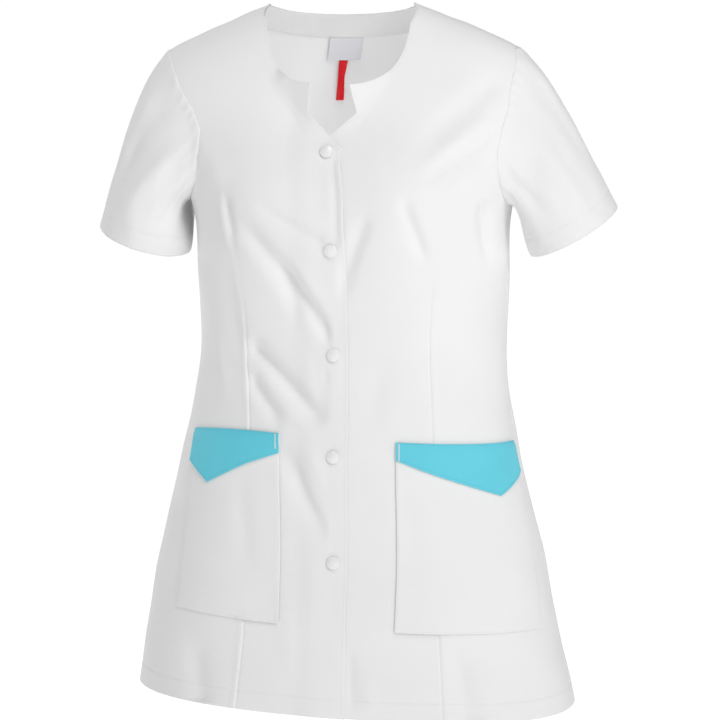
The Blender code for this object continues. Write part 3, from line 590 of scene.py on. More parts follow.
@dataclass(frozen=True)
class Crease:
    """A soft trough or ridge between two points of a panel, in millimetres of arc and height.

    Its height is h * exp(-(d/w)^2) across its line, with w wider on one side where it is skewed.
    It fades in over the share `rise` of its length and out over the share `fall`, and its line may
    bow sideways by `bow` at half length.
    """

    arc_0: float
    z_0: float
    arc_1: float
    z_1: float
    half_width: float
    height: float
    rise: float = 0.35
    fall: float = 0.35
    skew: float = 0.0
    bow: float = 0.0

    def lift(self, arc: Array, z: Array) -> Array:
        """Height of the crease at these points, in metres.

        Args:
            arc: Arc from the centre line, in metres.
            z: Height, in metres.

        Returns:
            How far it moves each point outward.
        """
        run = (self.arc_1 - self.arc_0, self.z_1 - self.z_0)
        length = math.hypot(*run)
        away = (arc / MM - self.arc_0, z / MM - self.z_0)
        share = (away[0] * run[0] + away[1] * run[1]) / length**2
        across = (away[0] * run[1] - away[1] * run[0]) / length
        across = across - self.bow * 4 * share * (1 - share)
        ends = smooth_step(0.0, self.rise, share) * (1 - smooth_step(1 - self.fall, 1.0, share))
        width = self.half_width * (1 + self.skew * np.tanh(across / self.half_width))
        return self.height * MM * ends * np.exp(-((across / width) ** 2))


def total_lift(creases: Iterable[Crease], arc: Array, z: Array) -> Array:
    """Sum of the creases at these points."""
    return sum((crease.lift(arc, z) for crease in creases), np.zeros(np.broadcast(arc, z).shape))


# The fronts' creases, in arcs from the form's centre front, positive to the wearer's left: the
# main ones first, then smaller ones that run beside them or by themselves.
FRONT_CREASES = tuple(Crease(*row) for row in (
    (-110, -214, -31, -330, 9.8, -6.2, 0.3, 0.3, 0.0, -16),
    (-60, -248, 4, -346, 7.4, -5.6, 0.3, 0.12),
    (-80, -200, 1, -243, 5.2, -3.0, 0.3, 0.12),
    (-94, -348, -2, -430, 8.8, -7.2, 0.12, 0.2),
    (-88, -364, -20, -436, 8.0, 3.0, 0.3, 0.35),
    (-92, -384, -48, -438, 7.4, -5.2, 0.18, 0.35),
    (-56, -445, -2, -553, 10.0, -4.0, 0.3, 0.3),
    (-114.5, -188, -103, -258, 5.5, -3.0, 0.25, 0.5),
    (-122.5, -195, -111, -262, 5.2, 1.6, 0.3, 0.5),
    (-160, -140, -106, -185, 12.0, 3.5, 0.35, 0.45),
    (46, -204, 10, -304, 7.6, -4.6, 0.3, 0.35, 0.0, 4),
    (74.5, -186, 103, -264, 7.2, -4.8, 0.3, 0.25),
    (174, -72, 78, -152, 12.0, -3.2, 0.2, 0.45),
    (172, -108, 84, -172, 9.5, 2.2, 0.3, 0.45),
    (170, -127, 92, -181, 6.8, -3.2, 0.2, 0.4),
    (164, -198, 178, -275, 8.0, -6.0, 0.12, 0.5),
    (135, -650, 148, -733, 14.0, -4.0, 0.5, 0.05),
    (-156, -660, -145, -733, 14.0, -3.5, 0.5, 0.05),
    (-40, -260, 4, -318, 6.0, 1.2, 0.35, 0.3),
    (-8.5, -366, -1, -394, 3.4, -1.4, 0.3, 0.4),
    (-42, -457, 3, -548, 6.0, -1.8, 0.3, 0.25, 0.2, 3),
    (-30, -440, 1, -500, 7.0, 1.2, 0.4, 0.4),
    (-22, -340, -4, -430, 7.0, -1.2, 0.4, 0.3),
    (-122, -260, -96, -380, 12.0, -2.0, 0.4, 0.4, 0.0, 4),
    (-142, -330, -118, -420, 10.0, 1.8, 0.4, 0.4),
    (-162, -139, -117, -175, 6.0, -1.4, 0.3, 0.4),
    (-96, -470, -82, -600, 11.0, -1.6, 0.4, 0.4, 0.0, 4),
    (-46, -585, -38, -710, 11.0, 1.2, 0.4, 0.3),
    (174, -143, 104, -193, 6.0, -1.2, 0.25, 0.4, 0.3, 3),
    (150, -245, 118, -320, 10.0, -1.8, 0.4, 0.4),
    (144, -345, 116, -410, 10.0, 1.6, 0.4, 0.4, 0.0, 3),
    (56, -345, 44, -445, 12.0, -1.4, 0.4, 0.4, 0.0, 3),
    (64, -470, 98, -560, 13.0, -1.4, 0.4, 0.4),
    (132.5, -644, 147, -708, 6.0, -1.8, 0.4, 0.3, 0.3, 2),
    (23, -650, 24.5, -725, 6.0, -2.0, 0.3, 0.2),
    (42, -675, 44, -730, 7.0, 1.2, 0.4, 0.2),
))
BACK_CREASES = tuple(Crease(*row) for row in (
    (104, -220, 30, -354, 10.5, -6.2, 0.35, 0.3, 0.0, 6),
    (-102, -235, -38, -344, 10.5, -5.6, 0.35, 0.3, 0.0, -6),
    (94, -375, 26, -474, 10.5, -6.0, 0.3, 0.35),
    (-88, -365, -26, -449, 10.5, -5.5, 0.3, 0.35),
    (15, -330, -6, -415, 10.5, 3.6, 0.4, 0.4),
    (149, -96, 86, -194, 10.0, -4.8, 0.25, 0.45),
    (-152, -101, -84, -189, 10.0, -4.6, 0.25, 0.45),
    (125, -580, 145, -733, 16.0, -5.0, 0.5, 0.05),
    (-115, -595, -135, -733, 16.0, -4.5, 0.5, 0.05),
    (15, -620, 20, -733, 15.0, -3.0, 0.5, 0.05),
    (88, -215, 24, -335, 6.2, 2.0, 0.35, 0.35, 0.3, 4),
    (-86, -230, -32, -325, 6.2, 1.8, 0.35, 0.35, 0.3, -4),
    (122, -250, 70, -345, 8.0, -2.8, 0.4, 0.4),
    (-126, -260, -76, -335, 8.0, -2.6, 0.4, 0.4),
    (74, -365, 16, -445, 6.0, -2.2, 0.3, 0.35, 0.2, 3),
    (-70, -390, -18, -460, 6.2, 1.8, 0.35, 0.35, 0.2, -3),
    (135, -115, 80, -185, 5.0, 1.6, 0.3, 0.45, 0.3, 3),
    (-138, -125, -80, -198, 5.0, 1.6, 0.3, 0.45, 0.3, -3),
    (60, -520, 72, -670, 12.0, 1.8, 0.4, 0.3),
    (-56, -530, -64, -690, 12.0, 1.6, 0.4, 0.3),
))


# ---- panels in pattern coordinates
@dataclass(frozen=True)
class Seam:
    """A pressed seam: a fine groove, with the allowance showing as a low step on one side."""

    groove: float = 0.0007
    groove_width: float = 0.0012
    step: float = 0.00045
    step_edge: float = 0.0006
    step_ends: Point = (0.004, 0.009)

    def relief(self, across: Array, toward: float) -> Array:
        """Relief of the seam: -g exp(-(d/w)^2) plus a step that fades out on one side.

        Args:
            across: Signed distance from the seam.
            toward: The sign of the side on which the allowance lies.

        Returns:
            How far each point moves outward.
        """
        beside = across * toward
        fade = smooth_step(-self.step_edge, self.step_edge, beside)
        fade = fade * (1 - smooth_step(*self.step_ends, beside))
        return self.step * fade - self.groove * bell(across, self.groove_width)


@dataclass(frozen=True)
class Pucker:
    """Fine gathers along a seam: sin(d/p + a sin(d/q)), fading off with the distance from it."""

    height: float
    pitch: float
    unevenness: float
    slow_pitch: float
    reach: float

    def relief(self, along: Array, away: Array) -> Array:
        """How far the gathers move each point outward, by its places along and off the seam."""
        wave = np.sin(along / self.pitch + self.unevenness * np.sin(along / self.slow_pitch))
        return self.height * wave * bell(away, self.reach)


def hem_groove(z: Array) -> Array:
    """The line that the hem's stitching presses into a panel."""
    return -HEM_GROOVE * bell(z - (HEM_Z + HEM_DEPTH), HEM_GROOVE_WIDTH)


def ply_step(
    off: Array, depth: float = HEM_DEPTH, ply: float = HEM_PLY, edge: float = PLY_EDGE
) -> Array:
    """Thickness that a turned-in ply adds up to its depth, by the distance off the folded edge."""
    return ply * (1 - smooth_step(depth - edge, depth, off))


class Panel:
    """A panel cut from a coarse grid of pattern points, laid on the form.

    Each panel has its own `arc_at`, `lift` and `relief`.
    """

    form: BodyForm
    grid: Array
    half: str
    start_angle: float

    def at(self, rows: Amount, columns: Amount) -> Array:
        """Pattern points at fractional rows and columns of the coarse grid."""
        return refined(self.grid, np.atleast_1d(rows), np.atleast_1d(columns))

    def path(self, rows: Amount, columns: Amount) -> Array:
        """Pattern points of a line that runs along one row or one column."""
        return self.at(rows, columns).reshape(-1, 2)

    def surface(
        self, pattern: Array, offset: Amount = 0.0, own: bool = True
    ) -> tuple[Array, Array]:
        """Points of the outer face moved out by `offset`, and the wall's directions.

        Args:
            pattern: Pattern points.
            offset: Distance out from the face.
            own: Whether the panel's own seams show, as they don't on what is sewn over it.

        Returns:
            Points and unit directions.
        """
        distance, z = pattern[..., 0], pattern[..., 1]
        arc = self.arc_at(distance, z)
        out = self.lift(distance, arc, z) + offset
        out = out + self.relief(distance, z) if own else out
        angle = self.start_angle + self.form.angle_at(arc, z, self.half)
        normal = self.form.normal(angle, z)
        return self.form.point(angle, z) + normal * out[..., None], normal


@dataclass
class FrontPanel(Panel):
    """One front of the tunic: its cut, and where each point of it stands.

    Pattern points are (distance from the centre line on its own side, height). The frame's panel
    has the same coarse grid, so every piece made from it lies on its solid.
    """

    side: Side
    form: BodyForm
    half: str = "front"
    start_angle: float = 0.0
    dart: tuple[Point, ...] = (
        (HEM_Z, 0.1115), (-0.64, 0.104), (-0.44, 0.098), (-0.326, 0.099), (-0.28, 0.1037),
        (-0.24, 0.1095), (UNDERARM_Z, 0.115),
    )
    dart_fade: float = 0.018
    dart_wave: float = 0.034  # the puckers beside the dart come and go
    counts: tuple[int, ...] = (3, 4, 3, 8, 2)  # columns of lap, inner, dart, pocket and side parts
    heights: tuple[int, ...] = (4, 8, 10)  # rows of hem, pocket and waist parts
    neck_rows: tuple[int, ...] = (5, 4, 3)
    scoop_columns: int = 9
    relaxed_rows: int = 6
    rounds: int = 100
    droop_end_z: float = -0.34
    crease_free: Point = (-0.002, 0.011)
    unevenness: float = 0.00055
    lap_step: Point = (0.02, 0.045)  # where the upper front comes down from the lower one
    # The centre line's stray from the form's: height, stray, and stray for each metre outward.
    centre: tuple[Triple, ...] = (
        (-0.733, 0.002, 0.05), (-0.64, 0.0045, 0.075), (-0.57, 0.006, 0.07),
        (-0.46, 0.005, 0.05), (-0.4, 0.0035, 0.025), (-0.355, 0.0025, 0.0),
        (-0.25, 0.003, 0.0), (-0.2, 0.002, 0.0), (-0.148, -0.0036, 0.0),
        (-0.11, -0.001, 0.0), (-0.088, -0.003, 0.0), (-0.06, 0.0, 0.0),
        (0.0, 0.0, 0.0),
    )
    roll_width: float = 0.0013
    roll_reach: float = 0.04
    roll_ridge: Point = (0.0006, 0.003)  # height and width of the ridge along the fold
    pull_ridge: Triple = (0.0012, -0.0135, 0.005)  # beside the upper snaps: height, place, width
    pull_trough: Triple = (0.0009, -0.0065, 0.0028)
    pull_ends: tuple[Point, Point] = ((-0.262, -0.225), (-0.168, -0.15))
    seam: Seam = field(default_factory=Seam)
    grid: Array = field(init=False)

    def __post_init__(self) -> None:
        """Sets what differs between the sides, and lays out the coarse grid."""
        left = self.side is Side.LEFT
        self.sign = self.side.value
        self.armhole = (0.053, 0.22) if left else (0.068, 0.33)  # reach and egg
        self.droop = 0.004 if left else 0.01  # how far the pocket's top hangs lower at the side
        self.dart_top = -0.222 if left else -0.19
        # Where the neck's tab rolls outward: the fold's ends, and its slope.
        self.fold = (
            ((0.057, -0.074), (0.006, -0.148)) if left else
            ((0.064, -0.078), (0.006, -0.15))
        )
        self.fold_slope = 0.48 if left else 0.58
        # The pocket's outer edge, as (height, distance).
        self.pocket_outer = (
            ((HEM_Z, 0.22), (POCKET_BOTTOM_Z, 0.215), (POCKET_TOP_Z, 0.206), (-0.36, 0.188),
             (UNDERARM_Z, 0.19))
            if left else
            ((HEM_Z, 0.208), (POCKET_BOTTOM_Z, 0.198), (POCKET_TOP_Z, 0.178), (-0.36, 0.168),
             (UNDERARM_Z, 0.18))
        )
        self.pocket_first = self.counts[0] + self.counts[1]
        self.dart_column = sum(self.counts[:3])
        self.pocket_last = sum(self.counts[:4])
        self.last_column = sum(self.counts)
        self.pocket_top = sum(self.heights[:2])
        self.underarm = sum(self.heights)
        self.last_row = self.underarm + sum(self.neck_rows)
        self.grid = self.coarse_grid()

    def dart_at(self, z: Array) -> Array:
        """Distance of the dart seam from the centre line at these heights."""
        return smooth_curve(*np.array(self.dart).T, z)

    def columns_at(self, z: Array) -> Array:
        """Distance of every column at each height, even between the lines that it passes.

        Args:
            z: Heights, rows by columns.

        Returns:
            Distances, rows by columns.
        """
        lines = np.stack([
            np.full_like(z, -LAP), np.full_like(z, LAP), np.full_like(z, POCKET_INNER),
            self.dart_at(z), smooth_curve(*np.array(self.pocket_outer).T, z),
            self.form.seam_arc(z, "front") - SEAM_GAP / 2,
        ])
        ends = np.concatenate([[0], np.cumsum(self.counts)])
        column = np.arange(self.last_column + 1)
        part = np.clip(np.searchsorted(ends, column, side="right") - 1, 0, len(self.counts) - 1)
        share = (column - ends[part]) / np.array(self.counts)[part]
        return (1 - share) * lines[part, :, column].T + share * lines[part + 1, :, column].T

    def coarse_grid(self) -> Array:
        """The pattern as rows from the hem up and columns from the lap out.

        Returns:
            The grid of pattern points.
        """
        hem_rows, pocket_rows, waist_rows = self.heights
        z = steps(
            HEM_Z, hem_rows, POCKET_BOTTOM_Z, pocket_rows, POCKET_TOP_Z, waist_rows, UNDERARM_Z
        )
        droop = smooth_step(POCKET_BOTTOM_Z, POCKET_TOP_Z, z) * self.droop
        droop = droop * (1 - smooth_step(POCKET_TOP_Z, self.droop_end_z, z))
        outward = np.maximum(np.arange(self.last_column + 1) - self.pocket_first, 0)
        outward = outward / (self.pocket_last - self.pocket_first)
        skirt_z = z[:, None] - droop[:, None] * np.minimum(outward, 1.2) ** 2
        skirt = np.stack([self.columns_at(skirt_z), skirt_z], axis=-1)

        lap_rows, notch_rows, tab_rows = self.neck_rows
        lap_z = steps(UNDERARM_Z, lap_rows, LAP_TOP_Z, notch_rows, NOTCH[1], tab_rows, TAB[1])
        edge = ([UNDERARM_Z, LAP_TOP_Z, NOTCH[1], TAB[1]], [-LAP, -LAP, NOTCH[0], TAB[0]])
        left = np.stack([np.interp(lap_z, *edge), lap_z], axis=-1)
        shares = np.linspace(0, 1, len(lap_z))
        right = self.form.armhole("front", shares, *self.armhole)
        start = math.asin((TAB[0] / NECK_HALF_WIDTH) ** (SCOOP_SQUARENESS / 2))
        along = np.linspace(0, 1, self.scoop_columns + 1)
        neck = self.form.scoop(along, SCOOP_DEPTH, SCOOP_SQUARENESS, "front", start)
        neck[0] = TAB
        shoulder_z = np.linspace(0.0, SHOULDER_TIP_Z, self.last_column - self.scoop_columns + 1)
        top = np.concatenate([neck, self.form.shoulder("front", shoulder_z)[1:]])
        grid = np.concatenate([skirt, coons(skirt[-1], top, left, right, shares)[1:]])
        first = self.underarm - self.relaxed_rows
        grid[first:] = relaxed(grid[first:], self.rounds)
        return grid

    def arc_at(self, distance: Array, z: Array) -> Array:
        """Signed arc from the form's centre front; the front's line strays from that centre.

        Args:
            distance: Distance from the front's own centre line.
            z: Height.

        Returns:
            The arcs, positive to the wearer's left.
        """
        share = np.abs(distance) / self.form.seam_arc(z, "front")
        heights, strays, spreads = np.array(self.centre).T
        stray = smooth_curve(heights, strays, z)
        stray = stray + smooth_curve(heights, spreads, z) * np.maximum(distance, 0.0)
        return self.sign * distance + stray * (1 - smooth_step(0.8, 1.0, share))

    def roll(self, distance: Array, z: Array) -> Array:
        """How far the neck's tab rolls outward past the line from the neck curve to the top snap.

        It is r * w * log(1 + exp(d / w)), with d the distance past the line, so the cloth bends
        round a soft crease and then runs straight.

        Args:
            distance: Distance from the centre line.
            z: Height.

        Returns:
            How far each point moves outward.
        """
        top, low = self.fold
        run = (low[0] - top[0], low[1] - top[1])
        length = math.hypot(*run)
        past = ((distance - top[0]) * run[1] - (z - top[1]) * run[0]) / length
        along = ((distance - top[0]) * run[0] + (z - top[1]) * run[1]) / length**2
        soft = self.roll_width * np.logaddexp(0.0, past / self.roll_width)
        ends = smooth_step(-0.12, 0.1, along) * (1 - smooth_step(0.45, 0.95, along))
        height, width = self.roll_ridge
        ridge = height * bell(past, width)
        return (self.fold_slope * np.minimum(soft, self.roll_reach) + ridge) * ends

    def lift(self, distance: Array, arc: Array, z: Array) -> Array:
        """How far the cloth stands off the form, for this panel and what is sewn on it.

        Args:
            distance: Distance from the centre line.
            arc: Arc from the form's centre front.
            z: Height.

        Returns:
            The distance off the form.
        """
        free = smooth_step(*self.crease_free, np.abs(distance))
        out = total_lift(FRONT_CREASES, arc, z) * free
        out = out + self.unevenness * ripples(arc, z, 11, 0.085) * free
        out = out + self.roll(distance, z)
        if self.side is Side.RIGHT:
            out = out + (PANEL_WALL + LAP_GAP) * (1 - smooth_step(*self.lap_step, distance))
        return out

    def relief(self, distance: Array, z: Array) -> Array:
        """The panel's own seams: the dart, the turned-up hem, the lapped edge and puckers.

        Args:
            distance: Distance from the centre line.
            z: Height.

        Returns:
            How far each point moves outward.
        """
        away = distance - self.dart_at(z)
        dart = self.seam.relief(away, 1.0)
        dart = dart + DART_PUCKER.relief(z, away) * np.sin(z / self.dart_wave + self.sign)
        out = dart * (1 - smooth_step(self.dart_top - self.dart_fade, self.dart_top, z))
        out = out + hem_groove(z)
        out = out + FRONT_PUCKER.relief(z, self.form.seam_arc(z, "front") - distance)
        if self.side is Side.RIGHT:
            low, high = self.pull_ends
            beside = smooth_step(*low, z) * (1 - smooth_step(*high, z))
            ridge, at, width = self.pull_ridge
            trough, trough_at, trough_width = self.pull_trough
            pull = ridge * bell(distance - at, width)
            out = out + (pull - trough * bell(distance - trough_at, trough_width)) * beside
        return out

    def across_line(self, z: float, first: float, last: float, count: int = 160) -> Array:
        """Pattern points of a level line between two columns.

        Args:
            z: Height of the line.
            first: First fractional column.
            last: Last fractional column.
            count: Number of points.

        Returns:
            The pattern points in order.
        """
        row = float(np.interp(z, self.grid[: self.underarm, 0, 1], np.arange(self.underarm)))
        return self.at(row, np.linspace(first, last, count))[0]


DART_PUCKER = Pucker(0.00022, 0.0021, 1.5, 0.011, 0.006)
FRONT_PUCKER = Pucker(0.00025, 0.0026, 2.0, 0.017, 0.007)
BACK_PUCKER = Pucker(0.00025, 0.0027, 2.0, 0.015, 0.007)
SLEEVE_PUCKER = Pucker(0.00035, 0.0024, 2.2, 0.013, 0.0075)


@dataclass
class BackPanel(Panel):
    """The back of the tunic, in points (arc from the centre back, height)."""

    form: BodyForm
    half: str = "back"
    start_angle: float = math.pi
    half_columns: int = 13
    neck_columns: int = 5
    skirt_rows: int = 20
    row_shares: tuple[float, ...] = (0.0, 0.11, 0.22, 0.33, 0.44, 0.55, 0.67, 0.79, 0.895, 1.0)
    facing_rows: int = 2
    armhole: Point = (0.055, 0.25)
    unevenness: float = 0.0006
    even_z: Point = (-0.06, -0.02)  # where the unevenness ends under the neck
    dart_arc: float = 0.086
    dart_ends: Point = (-0.53, -0.235)
    dart_fade: float = 0.05
    seam: Seam = field(default_factory=Seam)
    grid: Array = field(init=False)

    def __post_init__(self) -> None:
        """Lays out the coarse grid."""
        heights = np.linspace(HEM_Z, UNDERARM_Z, self.skirt_rows + 1)[:, None]
        share = np.linspace(-1, 1, 2 * self.half_columns + 1)[None]
        edge_arc = self.form.seam_arc(heights, "back") - SEAM_GAP / 2
        skirt = np.stack(np.broadcast_arrays(share * edge_arc, heights), axis=-1)
        rows = np.array(self.row_shares)
        edge = self.form.armhole("back", rows, *self.armhole)
        along = np.linspace(0, 1, self.neck_columns + 1)
        neck = self.form.scoop(along, BACK_NECK_DEPTH, BACK_NECK_SQUARENESS, "back")
        shoulder_z = np.linspace(0.0, SHOULDER_TIP_Z, self.half_columns - self.neck_columns + 1)
        half_top = np.concatenate([neck, self.form.shoulder("back", shoulder_z)[1:]])
        mirror = np.array([-1.0, 1.0])
        top = np.concatenate([half_top[::-1] * mirror, half_top[1:]])
        chest = coons(skirt[-1], top, edge * mirror, edge, rows)
        self.grid = np.concatenate([skirt, chest[1:]])
        self.last_row = self.grid.shape[0] - 1
        self.last_column = self.grid.shape[1] - 1

    def relief(self, arc: Array, z: Array) -> Array:
        """The turned-up hem, the two waist darts and the puckers beside the side seams.

        Args:
            arc: Arc from the centre back.
            z: Height.

        Returns:
            How far each point moves outward.
        """
        low, high = self.dart_ends
        fade = smooth_step(low, low + self.dart_fade, z)
        fade = fade * (1 - smooth_step(high - self.dart_fade, high, z))
        dart = self.seam.relief(np.abs(arc) - self.dart_arc, -1.0) * fade
        beside = self.form.seam_arc(z, "back") - np.abs(arc)
        return BACK_PUCKER.relief(z, beside) + dart + hem_groove(z)

    def arc_at(self, arc: Array, z: Array) -> Array:
        """The pattern's own arcs."""
        return arc

    def lift(self, _: Array, arc: Array, z: Array) -> Array:
        """How far the cloth stands off the form: its creases and a slow unevenness.

        Args:
            arc: Arc from the centre back.
            z: Height.

        Returns:
            The distance off the form.
        """
        slow = self.unevenness * ripples(arc, z, 23, 0.095) * (1 - smooth_step(*self.even_z, z))
        return total_lift(BACK_CREASES, arc, z) + slow


@dataclass(frozen=True)
class SleeveCrease:
    """A crease of a sleeve: shares round from the underarm and down from the armhole."""

    round_at: float
    down_at: float
    half_round: float
    half_down: float
    slope: float
    height: float

    def lift(self, round_share: Array, down_share: Array) -> Array:
        """h exp(-(r/a)^2) exp(-(s/b)^2), with r measured from a line that slopes.

        Args:
            round_share: Shares of the way round.
            down_share: Shares of the way down.

        Returns:
            How far each point moves outward.
        """
        off_round = round_share - self.round_at - self.slope * (down_share - 0.5)
        across = bell(off_round, self.half_round)
        return self.height * across * bell(down_share - self.down_at, self.half_down)


@dataclass(frozen=True)
class Cuff:
    """The cuff's ellipse: its centre, half widths, and the angles by which it hangs and dips."""

    centre: Triple
    half_across: float
    half_deep: float
    hang_deg: float
    dip_deg: float


@dataclass
class Sleeve:
    """A short sleeve: a sheet of cubic curves from the armhole's ring to the cuff's ellipse."""

    side: Side
    cuff: Cuff
    creases: tuple[SleeveCrease, ...]
    ring_per_cell: int = 8
    tip_reach: float = 0.2
    side_reach: float = 0.33
    cuff_reach: float = 0.36
    underarm_reach: float = 0.013
    underarm_power: float = 7.0
    least_lean: float = 0.3  # how far the handles follow the armhole away from the shoulder tip
    away_share: float = 0.35
    row_power: float = 1.15
    hem_depth: float = 0.02
    hem_groove: Point = (0.00035, 0.0016)
    head_rise: Triple = (0.0007, 0.004, 0.006)  # the seam allowance: height, place and width
    seam_groove: Triple = (0.0005, 0.055, 0.0013)  # at the underarm: depth, radius and width
    unevenness: float = 0.00055
    wavelength: float = 0.055
    seed: int = 31

    def ring(
        self, front: FrontPanel, back: BackPanel, count_round: int
    ) -> tuple[Array, Array, Array, float]:
        """Even points and wall directions round the armhole: underarm, front, shoulder tip, back.

        Args:
            front: The front on this side.
            back: The back.
            count_round: How many points the ring gets.

        Returns:
            Points, unit directions, the running arc with the whole ring's last, and the arc at
            the shoulder tip.
        """

        def edge(panel: Panel, first: int, column: float) -> tuple[Array, Array]:
            """Points and directions up a panel's armhole edge."""
            rows = steps(first, (panel.last_row - first) * self.ring_per_cell, panel.last_row)
            return tuple(part[:, 0] for part in panel.surface(panel.at(rows, column)))

        def ring_of(up: Array, down: Array) -> Array:
            """Values up the front edge and down the back one, closed, with means at both ends."""
            low, top = (up[:1] + down[:1]) / 2, (up[-1:] + down[-1:]) / 2
            return np.concatenate([low, up[1:-1], top, down[-2:0:-1], low])

        front_edge, front_way = edge(front, front.underarm, float(front.last_column))
        back_column = 0.0 if self.side is Side.LEFT else float(back.last_column)
        back_edge, back_way = edge(back, back.skirt_rows, back_column)
        closed, ways = ring_of(front_edge, back_edge), unit(ring_of(front_way, back_way))
        run = run_along(closed)
        arc = np.linspace(0.0, run[-1], count_round + 1)
        even, ways = (read_at(arc[:-1], run, values) for values in (closed, ways))
        return even, unit(self.eased(ways)), arc, float(run[len(front_edge) - 1])

    @staticmethod
    def eased(values: Array, rounds: int = 10) -> Array:
        """Values round a ring, each averaged with its neighbours with the weights 1, 2, 1.

        Args:
            values: The values, with the places round the ring along the first axis.
            rounds: How often they are averaged.

        Returns:
            The smoother values.
        """
        for _ in range(rounds):
            values = (np.roll(values, 1, axis=0) + 2 * values + np.roll(values, -1, axis=0)) / 4
        return values

    def normals(self, points: Array) -> Array:
        """Outward directions of a grid whose columns close into a ring."""
        round_way = np.roll(points, -1, axis=1) - np.roll(points, 1, axis=1)
        return unit(np.cross(np.gradient(points, axis=0), round_way)) * self.side.value

    def surface(
        self, front: FrontPanel, back: BackPanel, rows: int, count_round: int
    ) -> tuple[Array, Array, Array]:
        """The sleeve's outer face.

        Each ring point's curve is (1-t)^3 A + 3t(1-t)^2 B + 3t^2(1-t) C + t^3 D: A on the armhole,
        D on the cuff's ellipse, B a handle that leaves the armhole and C one along the cuff's axis.

        Args:
            front: The front on this side.
            back: The back.
            rows: Rows from armhole to cuff.
            count_round: Points round the sleeve.

        Returns:
            Points, unit directions, and the cloth's own coordinates (round, down) in metres.
        """
        ring, way, arc, tip = self.ring(front, back, count_round)
        sign = self.side.value
        tangent = unit(np.roll(ring, -1, axis=0) - np.roll(ring, 1, axis=0))
        onward = unit(self.eased(np.cross(tangent, way))) * sign
        start = ring + onward * SEAM_GAP
        turn = np.interp(arc[:-1], [0.0, tip, arc[-1]], [0.0, math.pi, 2 * math.pi])
        hang, dip = math.radians(self.cuff.hang_deg), math.radians(self.cuff.dip_deg)
        outward = np.array([sign * math.cos(hang), 0.0, math.sin(hang)])
        forward = np.array([0.0, -math.cos(dip), -math.sin(dip)])
        axis = unit(np.cross(outward, forward)) * sign
        end = np.array(self.cuff.centre) - np.cos(turn)[:, None] * outward * self.cuff.half_across
        end = end + np.sin(turn)[:, None] * forward * self.cuff.half_deep

        length = np.linalg.norm(end - start, axis=1, keepdims=True)
        at_tip = (((1 - np.cos(turn)) / 2) ** 4)[:, None]
        at_underarm = (((1 + np.cos(turn)) / 2) ** self.underarm_power)[:, None]
        lean = self.least_lean + (1 - self.least_lean) * at_tip
        first = unit(lean * onward + (1 - lean) * (end - start) / length)
        away = unit(way * [1.0, 1.0, 0.0] + self.away_share * onward)
        first = unit((1 - at_underarm) * first + at_underarm * away)
        reach = length * (self.side_reach + (self.tip_reach - self.side_reach) * at_tip)
        reach = (1 - at_underarm) * reach + at_underarm * self.underarm_reach
        knots = (start, start + first * reach, end - axis * length * self.cuff_reach, end)
        t = np.linspace(0, 1, rows + 1)[:, None, None] ** self.row_power
        weights = ((1 - t) ** 3, 3 * t * (1 - t) ** 2, 3 * t * t * (1 - t), t**3)
        outer = sum(weight * knot[None] for weight, knot in zip(weights, knots))

        share_round = (turn / (2 * math.pi))[None, :]
        share_down = t[..., 0]
        height = sum(crease.lift(share_round, share_down) for crease in self.creases)
        height = height * smooth_step(0.0, 0.25, share_down)
        outer = outer + self.normals(outer) * height[..., None]

        step = np.linalg.norm(np.diff(outer, axis=0), axis=-1)
        down = np.concatenate([np.zeros((1, step.shape[1])), np.cumsum(step, axis=0)])
        relief = self.relief(down, arc[:-1][None], turn[None])
        outer = outer + self.normals(outer) * relief[..., None]
        normal = self.normals(outer)
        normal[0] = way
        closed = np.concatenate([down, down[:, :1]], axis=1)
        return outer, normal, np.stack(np.broadcast_arrays(arc[None], -closed), axis=-1)

    def relief(self, down: Array, arc: Array, turn: Array) -> Array:
        """Easing puckers at the armhole, the underarm seam, the cuff's hem and slow unevenness.

        Args:
            down: Distance down from the armhole.
            arc: Distance round the armhole.
            turn: Angle round from the underarm.

        Returns:
            How far each point moves outward.
        """
        off = np.minimum(np.abs(turn), 2 * math.pi - np.abs(turn))
        rise, at, width = self.head_rise
        eased = smooth_step(0.9, 2.2, off) * smooth_step(0.0, 0.002, down)
        out = SLEEVE_PUCKER.relief(arc, down - at) * eased
        out = out + smooth_step(0.0, 0.0012, down) * rise * bell(down - at, width)
        groove, width = self.hem_groove
        out = out - groove * bell(down[-1:] - down - self.hem_depth, width)
        groove, radius, width = self.seam_groove
        out = out - groove * bell(off * radius, width)
        slow = ripples(arc * np.ones_like(down), down, self.seed, self.wavelength)
        fade = smooth_step(0.0, 0.03, down) * smooth_step(0.0, 0.35, off)
        return out + self.unevenness * slow * fade


# ---- meshes
@dataclass
class Shape:
    """Points and faces of a mesh, with the pattern coordinates of each face's corners."""

    points: Array
    faces: Cells
    corners: Optional[Array] = None

    def build(self, name: str, material: bpy.types.Material) -> bpy.types.Object:
        """The shape as a smooth-shaded object at the origin.

        Args:
            name: The object's name.
            material: Its material.

        Returns:
            The object, linked to the scene.
        """
        mesh = bpy.data.meshes.new(name)
        mesh.from_pydata(self.points.tolist(), [], self.faces.tolist())
        if self.corners is not None:
            layer = mesh.uv_layers.new(name="Pattern")
            layer.uv.foreach_set("vector", self.corners.astype(np.float32).ravel())
        mesh.shade_smooth()
        mesh.materials.append(material)
        piece = bpy.data.objects.new(name, mesh)
        bpy.context.scene.collection.objects.link(piece)
        return piece


def joined(shapes: Sequence[Shape]) -> Shape:
    """Several shapes as one.

    Args:
        shapes: The shapes, which all have faces of the same number of corners.

    Returns:
        One shape, without pattern coordinates.
    """
    first = np.cumsum([0] + [len(shape.points) for shape in shapes])
    return Shape(
        np.concatenate([shape.points for shape in shapes]),
        np.concatenate([shape.faces + start for shape, start in zip(shapes, first)]),
    )


